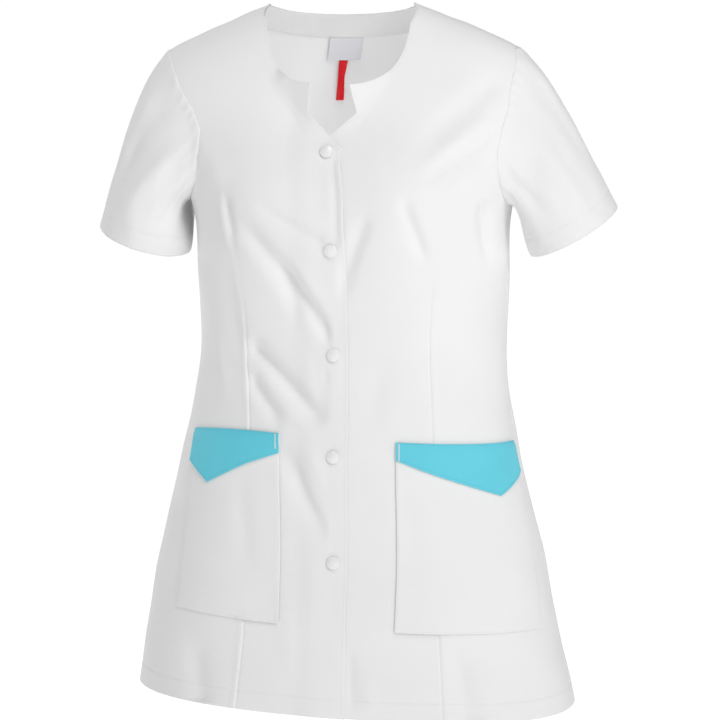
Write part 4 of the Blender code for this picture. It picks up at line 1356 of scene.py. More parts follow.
def ringed(table: Array) -> Array:
    """A table whose first column comes again after its last."""
    return np.concatenate([table, table[:, :1]], axis=1)


def grid_quads(table: Cells) -> Cells:
    """The four corners of every cell of a table: right along its row, then up and back."""
    cells = (table[:-1, :-1], table[:-1, 1:], table[1:, 1:], table[1:, :-1])
    return np.stack([cell.ravel() for cell in cells], axis=1)


def borders(index: Cells, place: Cells, ring: bool) -> list[tuple[Cells, Cells, Cells, bool]]:
    """The edges of a grid of points.

    Args:
        index: The points' numbers; a ring's first column comes again at its end.
        place: The numbers of their pattern coordinates.
        ring: Whether the last column joins the first.

    Returns:
        For each closed edge its points, those of the grid line inside it, the pattern places
        along it, and whether it runs anticlockwise seen from outside.
    """
    if ring:
        return [(index[0, :-1], index[1, :-1], place[0], True),
                (index[-1, :-1], index[-2, :-1], place[-1], False)]
    rows, columns = index.shape
    border = np.concatenate([index[0, :-1], index[:-1, -1], index[-1, :0:-1], index[:0:-1, 0]])
    inside = np.concatenate([index[1, :-1], index[:-1, -2], index[-2, :0:-1], index[:0:-1, 1]])
    corners = (0, columns - 1, columns + rows - 2, 2 * columns + rows - 3)
    inside[list(corners)] = [index[1, 1], index[1, -2], index[-2, -2], index[-2, 1]]
    return [(border, inside, np.append(border, border[0]), True)]


def wall(
    outer: Array, inner: Array, cloth: Array, ring: bool = False, fold_out: float = FOLD_OUT
) -> Shape:
    """A wall of cloth between two grids, closed at its edges by a rounded fold.

    The fold is a line of points midway between the two grids' edges, moved past them by
    `fold_out` away from the next grid line.

    Args:
        outer: Outer face, rows by columns; rows run up and columns to the wearer's left.
        inner: Inner face, the same size.
        cloth: Pattern coordinates of the grid; one column more than it where it is a ring.
        ring: Whether the last column joins the first.
        fold_out: How far the edges round out.

    Returns:
        The closed shape, in faces of four corners.
    """
    size = outer.shape[0] * outer.shape[1]
    index = np.arange(size).reshape(outer.shape[:2])
    index = ringed(index) if ring else index
    place = np.arange(cloth.shape[0] * cloth.shape[1]).reshape(cloth.shape[:2])
    flat = cloth.reshape(-1, 2)
    faces = [grid_quads(index), grid_quads(index)[:, ::-1] + size]
    corners = [flat[grid_quads(place)], flat[grid_quads(place)[:, ::-1]]]
    both = np.concatenate([outer.reshape(-1, 3), inner.reshape(-1, 3)])
    middle = (both[:size] + both[size:]) / 2
    points = [both]
    start = 2 * size
    for border, inside, marks, forward in borders(index, place, ring):
        points.append(middle[border] + unit(middle[border] - middle[inside]) * fold_out)
        count = len(border)
        mid = start + np.arange(count)
        high, mid_after = np.roll(border, -1), np.roll(mid, -1)
        upper = np.stack([high, border, mid, mid_after], axis=1)
        lower = np.stack([mid_after, mid, border + size, high + size], axis=1)
        order = slice(None) if forward else slice(None, None, -1)
        faces += [upper[:, order], lower[:, order]]
        at, at_after = flat[marks[:count]], flat[marks[1 : count + 1]]
        corners += [np.stack([at_after, at, at, at_after], axis=1)[:, order]] * 2
        start += count
    return Shape(np.concatenate(points), np.concatenate(faces), np.concatenate(corners))


@dataclass(frozen=True)
class Thread:
    """A row of machine stitches: each a short arch of thread whose ends dip into the cloth."""

    stitch: float = 0.0026
    gap: float = 0.0009
    half_width: float = 0.00024
    half_height: float = 0.00017
    # Stations along a stitch: place, girth and height, as shares of its half sizes.
    stations: tuple[Triple, ...] = (
        (-1.0, 0.25, -0.9), (-0.6, 0.9, 0.1), (0.0, 1.0, 0.55), (0.6, 0.9, 0.1), (1.0, 0.25, -0.9)
    )

    def row(self, points: Array, normals: Array) -> Shape:
        """Stitches along a line, spaced evenly by its length.

        Each stitch is a diamond tube p + t L/2 + w(t)(cos q s + sin q n), thin at both ends.

        Args:
            points: Points of the line.
            normals: Outward directions there.

        Returns:
            The stitches, in faces of four corners.
        """
        run = run_along(points)
        count = max(int(run[-1] / (self.stitch + self.gap)), 1)
        middle = (np.arange(count) + 0.5) * run[-1] / count
        place, girth, height = np.array(self.stations).T
        at = middle[:, None] + place * self.stitch / 2
        centre = read_at(at.ravel(), run, points).reshape(*at.shape, 3)
        normal = unit(read_at(at.ravel(), run, normals)).reshape(*at.shape, 3)
        across = unit(np.cross(normal, unit(centre[:, -1:] - centre[:, :1])))
        turn = (np.arange(4) * math.pi / 2)[:, None]
        side = np.cos(turn) * across[:, :, None] * self.half_width
        up = normal[:, :, None] * self.half_height
        body = centre[:, :, None] + up * height[:, None, None]
        body = body + (side + np.sin(turn) * up) * girth[:, None, None]
        index = np.arange(len(place) * 4).reshape(len(place), 4)
        ends = np.array([index[0][::-1], index[-1]])
        one = np.concatenate([grid_quads(ringed(index)), ends])[:, ::-1]
        faces = (one + index.size * np.arange(count)[:, None, None]).reshape(-1, 4)
        return Shape(body.reshape(-1, 3), faces)

    def along(
        self, panel: Panel, line: Array, offset: Amount, own: bool = False, inside: bool = False
    ) -> Shape:
        """Stitches along a pattern line of a panel.

        Args:
            panel: The panel.
            line: Pattern points of the line.
            offset: How far the sewn cloth stands off the panel's outer face.
            own: Whether the panel's own seams show there.
            inside: Whether the stitches are seen from inside.

        Returns:
            The stitches.
        """
        side = -1.0 if inside else 1.0
        points, normals = panel.surface(line, offset + side * STITCH_OUT, own)
        return self.row(points, normals * side)


@dataclass(frozen=True)
class Bartack:
    """A short bar of close cross stitches that locks the end of a flap."""

    width: float = 0.0016
    pitch: float = 0.00075
    half_thread: float = 0.00042

    def bar(self, points: Array, normals: Array) -> Shape:
        """Cross stitches side by side along a line.

        Args:
            points: Points of the bar's middle line.
            normals: Outward directions there.

        Returns:
            The stitches, in faces of four corners.
        """
        run = run_along(points)
        count = max(int(run[-1] / self.pitch), 2)
        at = (np.arange(count) + 0.5) * run[-1] / count
        centre, normal = read_at(at, run, points), unit(read_at(at, run, normals))
        half = unit(np.cross(normal, unit(np.gradient(centre, axis=0)))) * self.width / 2
        thread = Thread(self.width, 0.0, self.half_thread, self.half_thread)
        return joined([
            thread.row(np.stack([middle - reach, middle + reach]), np.stack([way, way]))
            for middle, reach, way in zip(centre, half, normal)
        ])


# ---- finishes
WAVE_BAND = math.pi / 10  # a wave texture's bands repeat at this share of one over its scale


@dataclass(frozen=True)
class Finish:
    """What every finish has: two shades, a roughness and the depth of its bump."""

    name: str
    shade: Colour
    light: Colour
    roughness: float
    depth: float

    def material(self) -> bpy.types.Material:
        """The finish as a material."""
        raise NotImplementedError


class Tree:
    """A material's node tree, with short ways to add nodes and join them."""

    def __init__(self, name: str) -> None:
        """Starts an empty material.

        Args:
            name: Its name.
        """
        self.material = bpy.data.materials.new(name)
        self.material.use_nodes = True
        self.nodes = self.material.node_tree.nodes
        self.links = self.material.node_tree.links
        self.shader = self.nodes["Principled BSDF"]

    def add(self, kind: str, **values: object) -> bpy.types.Node:
        """Adds a node and sets it up.

        Args:
            kind: The node's type.
            **values: Sockets by name, with underscores for spaces, or the node's own settings.

        Returns:
            The node.
        """
        node = self.nodes.new(kind)
        for key, value in values.items():
            if hasattr(node, key):
                setattr(node, key, value)
            else:
                node.inputs[key.replace("_", " ")].default_value = value
        return node

    def read(self, kind: str, place: Socket, output: str = "Fac", **values: object) -> Socket:
        """Adds a node that reads a place.

        Args:
            kind: The node's type.
            place: The coordinates for its Vector socket.
            output: The name of the socket that is used.
            **values: As in `add`.

        Returns:
            The node's output.
        """
        node = self.add(kind, **values)
        self.links.new(place, node.inputs["Vector"])
        return node.outputs[output]

    def total(self, base: float, *terms: tuple[Socket, float]) -> Socket:
        """The sum of a number and sockets times their weights.

        Args:
            base: The number.
            *terms: Each socket with its weight.

        Returns:
            The sum's socket.
        """
        last = None
        for socket, weight in terms:
            node = self.add("ShaderNodeMath", operation="MULTIPLY_ADD")
            self.links.new(socket, node.inputs[0])
            node.inputs[1].default_value = weight
            node.inputs[2].default_value = base
            if last is not None:
                self.links.new(last, node.inputs[2])
            last = node.outputs[0]
        return last

    def dress(self, finish: Finish, tone: Socket, uneven: Socket, spread: float,
              relief: Socket, strength: float) -> bpy.types.Material:
        """Sets the shader's colour, roughness and bump.

        Args:
            finish: Gives the two shades, the mean roughness and the bump's depth.
            tone: Share from the darker shade to the lighter one.
            uneven: Share that makes the roughness uneven.
            spread: How much the roughness varies in all.
            relief: Height of the bump.
            strength: Strength of the bump.

        Returns:
            The material.
        """
        mix = self.add("ShaderNodeMix", data_type="RGBA")
        self.links.new(tone, mix.inputs[0])
        mix.inputs[6].default_value = (*finish.shade, 1.0)
        mix.inputs[7].default_value = (*finish.light, 1.0)
        bump = self.add("ShaderNodeBump", Strength=strength, Distance=finish.depth)
        self.links.new(relief, bump.inputs["Height"])
        rough = self.total(finish.roughness - spread / 2, (uneven, spread))
        self.links.new(mix.outputs[2], self.shader.inputs["Base Color"])
        self.links.new(rough, self.shader.inputs["Roughness"])
        self.links.new(bump.outputs["Normal"], self.shader.inputs["Normal"])
        return self.material


@dataclass(frozen=True)
class ClothFinish(Finish):
    """Woven cloth: a twill of fine slanting ribs, uneven yarns, and slow changes of tone."""

    roughness: float = 0.82
    depth: float = 0.00009
    rib: float = 0.00085  # from one rib of the weave to the next
    rib_angle: float = 63.0
    sheen: float = 0.12
    yarn_scale: Triple = (1.0, 0.12, 1.0)  # yarns' uneven spots are long and narrow

    def material(self) -> bpy.types.Material:
        """The finish as a material that reads the piece's pattern coordinates.

        Returns:
            The material.
        """
        tree = Tree(self.name)
        place = tree.add("ShaderNodeUVMap", uv_map="Pattern").outputs["UV"]
        spots = tree.add("ShaderNodeTexCoord").outputs["Object"]
        angles = (0.0, 0.0, math.radians(self.rib_angle))
        turned = tree.read("ShaderNodeMapping", place, "Vector", Rotation=angles)
        ribs = tree.read(
            "ShaderNodeTexWave", turned, Scale=WAVE_BAND / self.rib, Distortion=0.35,
            Detail=1.0, Detail_Scale=1.5,
        )
        yarn = tree.read("ShaderNodeMapping", place, "Vector", Scale=self.yarn_scale)
        slubs = tree.read("ShaderNodeTexNoise", yarn, Scale=1500.0, Detail=2.0)
        slow = tree.read("ShaderNodeTexNoise", spots, Scale=16.0, Detail=3.0)
        tone = tree.total(0.0, (slow, 0.65), (slubs, 0.25), (ribs, 0.15))
        relief = tree.total(0.0, (slubs, 0.45), (ribs, 1.0))
        tree.shader.inputs["Sheen Weight"].default_value = self.sheen
        tree.shader.inputs["Sheen Roughness"].default_value = 0.45
        tree.shader.inputs["Specular IOR Level"].default_value = 0.25
        return tree.dress(self, tone, slow, 0.12, relief, 0.55)


@dataclass(frozen=True)
class SatinFinish(Finish):
    """Woven label or ribbon: close level ribs across it and a soft gloss."""

    roughness: float = 0.42
    depth: float = 0.00006
    rib: float = 0.00055

    def material(self) -> bpy.types.Material:
        """The finish as a material that reads the piece's pattern coordinates.

        Returns:
            The material.
        """
        tree = Tree(self.name)
        place = tree.add("ShaderNodeUVMap", uv_map="Pattern").outputs["UV"]
        ribs = tree.read(
            "ShaderNodeTexWave", place, bands_direction="Y", Scale=WAVE_BAND / self.rib,
            Distortion=0.2,
        )
        yarns = tree.read("ShaderNodeTexNoise", place, Scale=900.0, Detail=2.0)
        tone = tree.total(0.0, (ribs, 0.55), (yarns, 0.45))
        tree.shader.inputs["Specular IOR Level"].default_value = 0.2
        return tree.dress(self, tone, yarns, 0.14, ribs, 0.5)


@dataclass(frozen=True)
class SolidFinish(Finish):
    """Thread, moulded plastic or floor: one tone with fine unevenness."""

    grain: float  # scale of the unevenness
    coat: float = 0.0
    glow: float = 0.0

    def material(self) -> bpy.types.Material:
        """The finish as a material on Object coordinates.

        Returns:
            The material.
        """
        tree = Tree(self.name)
        place = tree.add("ShaderNodeTexCoord").outputs["Object"]
        grain = tree.read("ShaderNodeTexNoise", place, Scale=self.grain, Detail=3.0)
        tree.shader.inputs["Coat Weight"].default_value = self.coat
        if self.glow > 0:
            tree.shader.inputs["Emission Color"].default_value = (1.0, 1.0, 1.0, 1.0)
            tree.shader.inputs["Emission Strength"].default_value = self.glow
        return tree.dress(self, grain, grain, 0.1, grain, 0.3)


WHITE_CLOTH = ClothFinish("white_twill", (0.8, 0.799, 0.8), (0.88, 0.879, 0.88))
# The facing is the same white twill, painted darker and a little warmer: painted shade for the
# inside of the back neck.
SHADED_FACING_CLOTH = ClothFinish("facing_twill_painted_shade", (0.72, 0.715, 0.715), (0.8, 0.795, 0.795))
TEAL_CLOTH = ClothFinish(
    "teal_twill", (0.1, 0.56, 0.69), (0.16, 0.69, 0.82), 0.62, sheen=0.22
)
LABEL_SATIN = SatinFinish("label_satin", (0.62, 0.62, 0.655), (0.73, 0.73, 0.765))
RED_SATIN = SatinFinish("red_ribbon", (0.55, 0.006, 0.01), (0.76, 0.012, 0.02), 0.38, rib=0.0007)
WHITE_THREAD = SolidFinish(
    "white_thread", (0.78, 0.78, 0.79), (0.88, 0.88, 0.88), 0.55, 5e-5, 2500.0
)
TEAL_THREAD = SolidFinish("teal_thread", (0.1, 0.46, 0.58), (0.18, 0.6, 0.72), 0.55, 5e-5, 2500.0)
CAP_PLASTIC = SolidFinish(
    "snap_cap", (0.8, 0.8, 0.805), (0.86, 0.86, 0.862), 0.3, 3e-5, 420.0, coat=0.25
)
FLOOR_PAINT = SolidFinish(
    "pale_floor", (0.29, 0.29, 0.29), (0.31, 0.31, 0.31), 0.9, 1e-4, 1.5, glow=0.95
)


# ---- sub-assemblies
@dataclass(frozen=True)
class Cut:
    """The sheet that a piece is cut from: flat box, area, how it is held and what it lies on."""

    flat: Point
    area: float
    held: Held
    rests_on: Sequence[str] = ()


@dataclass
class Workshop:
    """Dresses the frame: builds pieces, hides the nodes that they replace, and keeps the materials.
    """

    body: str = "root"
    materials: dict[str, bpy.types.Material] = field(default_factory=dict)
    made: list[str] = field(default_factory=list)

    def finish(self, finish: Finish) -> bpy.types.Material:
        """The material of a finish, made once.

        Args:
            finish: The finish.

        Returns:
            Its material.
        """
        if finish.name not in self.materials:
            self.materials[finish.name] = finish.material()
        return self.materials[finish.name]

    def piece(self, name: str, shape: Shape, finish: Finish, slot: str,
              node: Optional[str] = None) -> bpy.types.Object:
        """Builds a piece that rides on the tunic.

        Args:
            name: The piece's name.
            shape: Its shape.
            finish: Its finish.
            slot: The record's material slot; not used.
            node: The frame's node that it replaces.

        Returns:
            The object.
        """
        made = shape.build(name, self.finish(finish))
        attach(made, self.body)
        if node:
            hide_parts(node)
        self.made.append(name)
        LOG.info("%s: %d points, %d faces", name, len(shape.points), len(shape.faces))
        return made

    def sewn(self, node: str, shape: Shape, finish: Finish, cut: Cut,
             rows: Sequence[Shape] = (), thread: Finish = WHITE_THREAD) -> None:
        """Builds a cloth piece in place of a node, after its stitching.

        Args:
            node: The frame's node.
            shape: The piece's shape.
            finish: Its finish.
            cut: The sheet that it was cut from; not used.
            rows: Its rows of stitches.
            thread: The stitches' finish.
        """
        stitches = [self.piece(f"{node}_stitching", joined(rows), thread, node)] if rows else []
        made = self.piece(f"{node}_cloth", shape, finish, node, node)


def cell_area(points: Array) -> float:
    """Area of a grid of points: half the cross product of each cell's diagonals, summed.

    Args:
        points: Points in space or in the pattern, rows by columns.

    Returns:
        The area.
    """
    points = np.pad(points, ((0, 0), (0, 0), (0, 3 - points.shape[-1])))
    first = points[1:, 1:] - points[:-1, :-1]
    second = points[1:, :-1] - points[:-1, 1:]
    return float(np.linalg.norm(np.cross(first, second), axis=-1).sum() / 2)


@dataclass
class Front:
    """A front with its pocket, its flap and their stitching."""

    panel: FrontPanel
    shop: Workshop
    thread: Thread = field(default_factory=Thread)
    edge_stitch: float = 0.0022
    edge_ends: Point = (0.004, 0.001)  # how far the lap's stitching stays off its ends
    notch_ends: Point = (0.0006, 0.0022)
    facing_width: float = 0.05
    facing_ply: float = 0.00035
    hem_cut: float = 0.24  # lengths of the cut that turn in at the hem and at the facing
    facing_cut: float = 0.6
    pocket_inset: Point = (0.065, 0.13)  # its stitching's rows and columns off the edge
    flap_tip_column: int = 8
    flap_rows: int = 3
    bartack_out: float = 0.00015

    def __post_init__(self) -> None:
        """Sets what differs between the sides."""
        self.side = self.panel.side
        left = self.side is Side.LEFT
        # How far the flap reaches down at its inner edge, its tip and the side.
        self.flap_drops = (0.018, 0.053, 0.031) if left else (0.02, 0.056, 0.034)
        self.bartack_column = 0.22 if left else 0.3
        self.bartack_low = 0.02 if left else 0.75

    def to_left(self, grid: Array) -> Array:
        """A grid with its columns running toward the wearer's left."""
        return grid if self.side is Side.LEFT else grid[:, ::-1]

    def wall_of(self, pattern: Array, offset: Amount, thick: Amount, own: bool = False) -> Shape:
        """A wall of cloth over the panel.

        Args:
            pattern: Pattern points, from the centre out.
            offset: How far its outer face stands off the panel's.
            thick: Its thickness.
            own: Whether the panel's seams show on it.

        Returns:
            The shape.
        """
        outer, normal = self.panel.surface(pattern, offset, own)
        depth = np.broadcast_to(np.asarray(thick, float), pattern.shape[:2])[..., None]
        grids = (outer, outer - normal * depth, pattern * [float(self.panel.sign), 1.0])
        return wall(*(self.to_left(grid) for grid in grids))

    def build(self) -> None:
        """Builds the front, the pocket and the flap."""
        self.build_panel()
        self.build_pocket()
        self.build_flap()

    def build_panel(self) -> None:
        """The front panel: one cut with a long dart, hemmed, and faced along its lapped edge."""
        panel = self.panel
        hem_row = HEM_DEPTH / (POCKET_BOTTOM_Z - HEM_Z) * panel.heights[0]
        rows = clustered(panel.last_row, 4, (0.0, hem_row, panel.last_row), 0.35, 4)
        dense = (0.0, float(panel.dart_column), float(panel.last_column))
        pattern = panel.at(rows, clustered(panel.last_column, 4, dense, 0.55, 7))
        facing = ply_step(pattern[..., 0], self.facing_width, self.facing_ply, 2 * PLY_EDGE)
        thick = CLOTH + ply_step(pattern[..., 1] - HEM_Z) + facing
        area = cell_area(pattern) + HEM_DEPTH * self.hem_cut + self.facing_width * self.facing_cut
        self.shop.sewn(
            f"front_{self.side.word}", self.wall_of(pattern, 0.0, thick, True), WHITE_CLOTH,
            Cut((0.31, 0.76), min(area, 0.23), Held.HUNG), self.panel_rows(),
        )

    def panel_rows(self) -> list[Shape]:
        """Rows of stitches of the panel: hem, lapped edge, notch and neck curve.

        Returns:
            The rows.
        """
        panel, shift = self.panel, self.edge_stitch
        low, high = self.edge_ends
        hem = panel.across_line(HEM_Z + HEM_DEPTH, 0.25, panel.last_column - 0.1)
        heights = np.linspace(HEM_Z + low, LAP_TOP_Z - high, 240)
        edge = np.stack([np.full_like(heights, shift - LAP), heights], axis=-1)
        low, top = self.notch_ends
        corners = np.array([
            (-LAP + shift, LAP_TOP_Z - high), (NOTCH[0] + shift, NOTCH[1] - low),
            (TAB[0] + shift, TAB[1] - top),
        ])
        notch = read_at(np.linspace(0, 2, 90), (0, 1, 2), corners)
        scoop = panel.path(float(panel.last_row), np.linspace(0.6, panel.scoop_columns - 0.15, 140))
        inward = unit(np.stack([-np.gradient(scoop[:, 1]), np.gradient(scoop[:, 0])], axis=-1))
        lines = (hem, edge, notch, scoop - inward * shift)
        return [self.thread.along(panel, line, 0.0, own=True) for line in lines]

    def build_pocket(self) -> None:
        """The patch pocket, edge-stitched along three sides and slightly puffed."""
        panel, word = self.panel, self.side.word
        first, last = float(panel.pocket_first), float(panel.pocket_last)
        low, high = float(panel.heights[0]), float(panel.pocket_top)
        rows = low + clustered(int(high - low), 5, (0.0, high - low), 0.4, 5)
        columns = first + clustered(int(last - first), 5, (0.0, last - first), 0.4, 5)
        pattern = panel.at(rows, columns)
        offset = self.pocket_offset(rows[:, None], columns[None])
        up, inset = self.pocket_inset
        sides = np.linspace(high - 0.02, low + up, 140)
        across = np.linspace(first + inset, last - inset, 140)
        paths = ((sides, first + inset), (low + up, across), (sides[::-1], last - inset))
        stitches = [
            self.thread.along(panel, panel.path(row, column), self.pocket_offset(row, column))
            for row, column in paths
        ]
        area = min(cell_area(pattern) * 1.16, 0.042)
        self.shop.sewn(
            f"pocket_{word}", self.wall_of(pattern, offset, CLOTH), WHITE_CLOTH,
            Cut((0.18, 0.235), area, Held.LAID, [f"front_{word}_cloth"]), stitches,
        )

    def pocket_offset(self, row: Amount, column: Amount) -> Array:
        """How far the pocket stands off the panel: least along its stitched edges.

        Between them it puffs out with the root of two sine arches, and its mouth stands free
        near the inner edge. Short waves run beside the stitching.

        Args:
            row: Fractional rows of the panel's grid.
            column: Fractional columns.

        Returns:
            The distances off the panel's outer face.
        """
        panel = self.panel
        u = (column - panel.pocket_first) / (panel.pocket_last - panel.pocket_first)
        v = (row - panel.heights[0]) / (panel.pocket_top - panel.heights[0])
        arch = np.sqrt(np.clip(np.sin(math.pi * u) * np.sin(math.pi * v), 0, 1))
        free = bell(v, 0.06) * smooth_step(0.02, 0.1, u) * (1 - smooth_step(0.26, 0.34, u))
        wave = np.sin(column * 9.0 + 2 * np.sin(row * 1.7)) * bell(v, 0.05)
        sides = bell(u, 0.03) + bell(1 - u, 0.03)
        wave = wave + np.sin(row * 11.0 + 2 * np.sin(row * 2.3)) * sides
        edge = bell(u, 0.018) + bell(1 - u, 0.018) + bell(v, 0.012)
        stand = 0.0007 * bell(u, 0.05) + 0.0005 * bell(v, 0.03) * (1 - smooth_step(0.3, 0.4, u))
        out = SEAM_GAP + PANEL_WALL + 0.0012 * arch + 0.0007 * free + 0.00016 * wave
        return out + stand * (1 - smooth_step(0.85, 1.0, v)) - 0.00025 * np.minimum(edge, 1)

    def flap_pattern(self, rows: Array, columns: Array) -> Array:
        """Pattern points of the flap, from its slanting lower edge up to the pocket's top.

        Args:
            rows: Fractional rows, from 0 at the lower edge to `flap_rows` at the top.
            columns: Fractional columns counted from the flap's inner edge.

        Returns:
            The pattern points.
        """
        panel = self.panel
        across = slice(panel.pocket_first, panel.pocket_last + 1)
        top, below = (panel.grid[panel.pocket_top - rows_down, across] for rows_down in (0, 3))
        ends = (0, self.flap_tip_column, len(top) - 1)
        drop = np.interp(np.arange(len(top)), ends, self.flap_drops)
        low = top + (below - top) * (drop / (top[:, 1] - below[:, 1]))[:, None]
        share = np.linspace(0, 1, self.flap_rows + 1)[:, None, None]
        return refined((1 - share) * low + share * top, rows, columns)

    def flap_offset(self, rows: Array, columns: Array) -> Array:
        """How far the flap stands off the panel: least along its sewn top, a little more below.

        Args:
            rows: Fractional rows of the flap.
            columns: Fractional columns of the flap.

        Returns:
            The distances off the panel's outer face.
        """
        base = SEAM_GAP + PANEL_WALL + LAYER_GAP + TRIM_WALL
        up = rows / self.flap_rows
        lift = 0.0009 * (1 - up) ** 1.5 * smooth_step(0.0, 2.5, columns)
        wave = 0.00014 * np.sin(columns * 7.0) * bell(up, 0.2)
        return base - 0.0011 * smooth_step(0.8, 1.0, up) + lift + wave

    def build_flap(self) -> None:
        """The coloured flap over the pocket's mouth, with its edge stitching and bartack."""
        panel, name = self.panel, f"pocket_flap_{self.side.word}"
        last, tip = panel.pocket_last - panel.pocket_first, self.flap_tip_column
        rows = clustered(self.flap_rows, 6, (0.0, float(self.flap_rows)), 0.25, 5)
        columns = clustered(last, 5, (0.0, float(tip), float(last)), 0.3, 5)
        pattern = self.flap_pattern(rows, columns)
        shape = self.wall_of(pattern, self.flap_offset(rows[:, None], columns[None]), TRIM)
        across = np.linspace(0.16, last - 0.16, 160)
        low = np.interp(across, (0, tip, last), (0.3, 0.12, 0.2))
        stitches = []
        for row in (low, np.full_like(across, self.flap_rows - 0.1)):
            places = zip(row[:, None], across[:, None])
            line = np.stack([self.flap_pattern(*place)[0, 0] for place in places])
            stitches.append(self.thread.along(panel, line, self.flap_offset(row, across)))
        cut = Cut(
            (0.175, 0.09), cell_area(pattern) * 1.25, Held.LAID, [f"pocket_{self.side.word}_cloth"]
        )
        self.shop.sewn(name, shape, TEAL_CLOTH, cut, stitches, TEAL_THREAD)
        rows = np.linspace(self.bartack_low, self.flap_rows - 0.1, 24)
        line = self.flap_pattern(rows, np.array([self.bartack_column]))[:, 0]
        offset = self.flap_offset(rows, self.bartack_column) + self.bartack_out
        bar = Bartack().bar(*panel.surface(line, offset, False))
        self.shop.piece(f"{name}_bartack", bar, WHITE_THREAD, name)


@dataclass
class Back:
    """The back, and what is sewn inside its neck."""

    panel: BackPanel
    shop: Workshop
    thread: Thread = field(default_factory=Thread)
    dart_z: float = -0.38  # where the darts' columns are worked out
    label_arc: Point = (-0.0132, 0.0224)
    label_slant: float = 0.005
    label_depth: float = 0.024
    label_stitch: float = 0.0016
    label_curl: float = 0.0011
    corner_curl: Point = (0.0005, 0.004)
    # The tape's places: depth below its top, arc and half width.
    tape: tuple[Triple, ...] = (
        (0.0, 0.0102, 0.0048), (0.008, 0.0123, 0.0042), (0.02, 0.0156, 0.0034),
        (0.033, 0.0184, 0.0038), (0.0437, 0.0211, 0.0044),
    )
    tape_twist: float = 0.0011
    tape_bulge: float = 0.001
    tape_fold_out: float = 0.0001

    def build(self) -> None:
        """Builds the back, the facing, the label and the tape."""
        self.build_panel()
        self.build_facing()
        self.build_label()

    def build_panel(self) -> None:
        """The back panel, one plain cut with two darts and a turned-up hem."""
        panel = self.panel
        hem_row = HEM_DEPTH / (UNDERARM_Z - HEM_Z) * panel.skirt_rows
        rows = clustered(panel.last_row, 4, (0.0, hem_row, panel.last_row), 0.35, 4)
        share = panel.dart_arc / float(panel.form.seam_arc(np.array(self.dart_z), "back"))
        dense = (0.0, *(panel.half_columns * np.array([1 - share, 1 + share])), panel.last_column)
        pattern = panel.at(rows, clustered(panel.last_column, 5, dense, 0.9, 8))
        outer, normal = panel.surface(pattern)
        thick = CLOTH + ply_step(pattern[..., 1] - HEM_Z)
        shape = wall(outer, outer - normal * thick[..., None], pattern)
        line = panel.path(hem_row, np.linspace(0.1, panel.last_column - 0.1, 320))
        cut = Cut((0.58, 0.78), min(cell_area(pattern) * 1.08, 0.45), Held.HUNG)
        rows = [self.thread.along(panel, line, 0.0, own=True)]
        self.shop.sewn("back", shape, WHITE_CLOTH, cut, rows)

    def neck_columns(self) -> tuple[int, int]:
        """First and last column of the back that lie under the back neck."""
        middle, reach = self.panel.half_columns, self.panel.neck_columns
        return middle - reach, middle + reach

    def build_facing(self) -> None:
        """The facing inside the back neck: its top edge turns over to meet the back's."""
        panel = self.panel
        first, last = self.neck_columns()
        bottom = panel.last_row - panel.facing_rows
        rows = bottom + clustered(panel.facing_rows, 6, (0.0, float(panel.facing_rows)), 0.3, 4)
        columns = first + clustered(last - first, 6, (0.0, float(last - first)), 0.3, 4)
        pattern = panel.at(rows, columns)
        up = smooth_step(0.72, 1.0, (rows - bottom) / panel.facing_rows)[:, None]
        under = PANEL_WALL + LAYER_GAP
        away = under + 0.00016 * np.sin(columns * 8.0)[None]
        face, normal = panel.surface(pattern, -(away * (1 - up) + CLOTH * up), False)
        line = panel.path(bottom + 0.1, np.linspace(first + 0.1, last - 0.1, 200))
        area = min(cell_area(pattern) * 1.15, 0.0085)
        self.shop.sewn(
            "back_neck_facing", wall(face, face - normal * TRIM, pattern), SHADED_FACING_CLOTH,
            Cut((0.19, 0.045), area, Held.FOLDED, ["back_cloth"]),
            [self.thread.along(panel, line, -under - TRIM, inside=True)],
        )

    def inside(self, pattern: Array, gap: Array, thick: float, fold_out: float) -> Shape:
        """A thin wall inside the back.

        Args:
            pattern: Pattern points.
            gap: How far in from the back's inner face it stands.
            thick: Its thickness.
            fold_out: How far its edges round out.

        Returns:
            The shape.
        """
        face, normal = self.panel.surface(pattern, -(PANEL_WALL + gap), False)
        return wall(face, face - normal * thick, pattern, fold_out=fold_out)

    def build_label(self) -> None:
        """The bare neck label and the red tape that hangs from it."""
        panel = self.panel
        first, last = self.neck_columns()
        low_edge = panel.grid[-1 - panel.facing_rows, first : last + 1]
        arcs = np.linspace(*self.label_arc, 33)
        top = np.interp(arcs, *low_edge.T) - SEAM_GAP
        down = np.linspace(1, 0, 25)[:, None]
        pattern = np.stack(
            [arcs + down * self.label_slant, top - down * self.label_depth], axis=-1
        )
        curl, width = self.corner_curl
        gap = INSIDE_GAP + self.label_curl * down**2 + curl * bell(arcs - arcs[0], width) * down
        stitch = np.stack([arcs, top - self.label_stitch], axis=-1)[2:-2]
        inner = -(PANEL_WALL + INSIDE_GAP + TRIM)
        self.shop.sewn(
            "neck_label", self.inside(pattern, gap, TRIM, FOLD_OUT), LABEL_SATIN,
            Cut((0.036, 0.026), 0.00088, Held.HUNG, ["back_cloth"]),
            [self.thread.along(panel, stitch, inner, inside=True)],
        )
        self.build_tape(float(top.min()) - self.label_depth - SEAM_GAP)

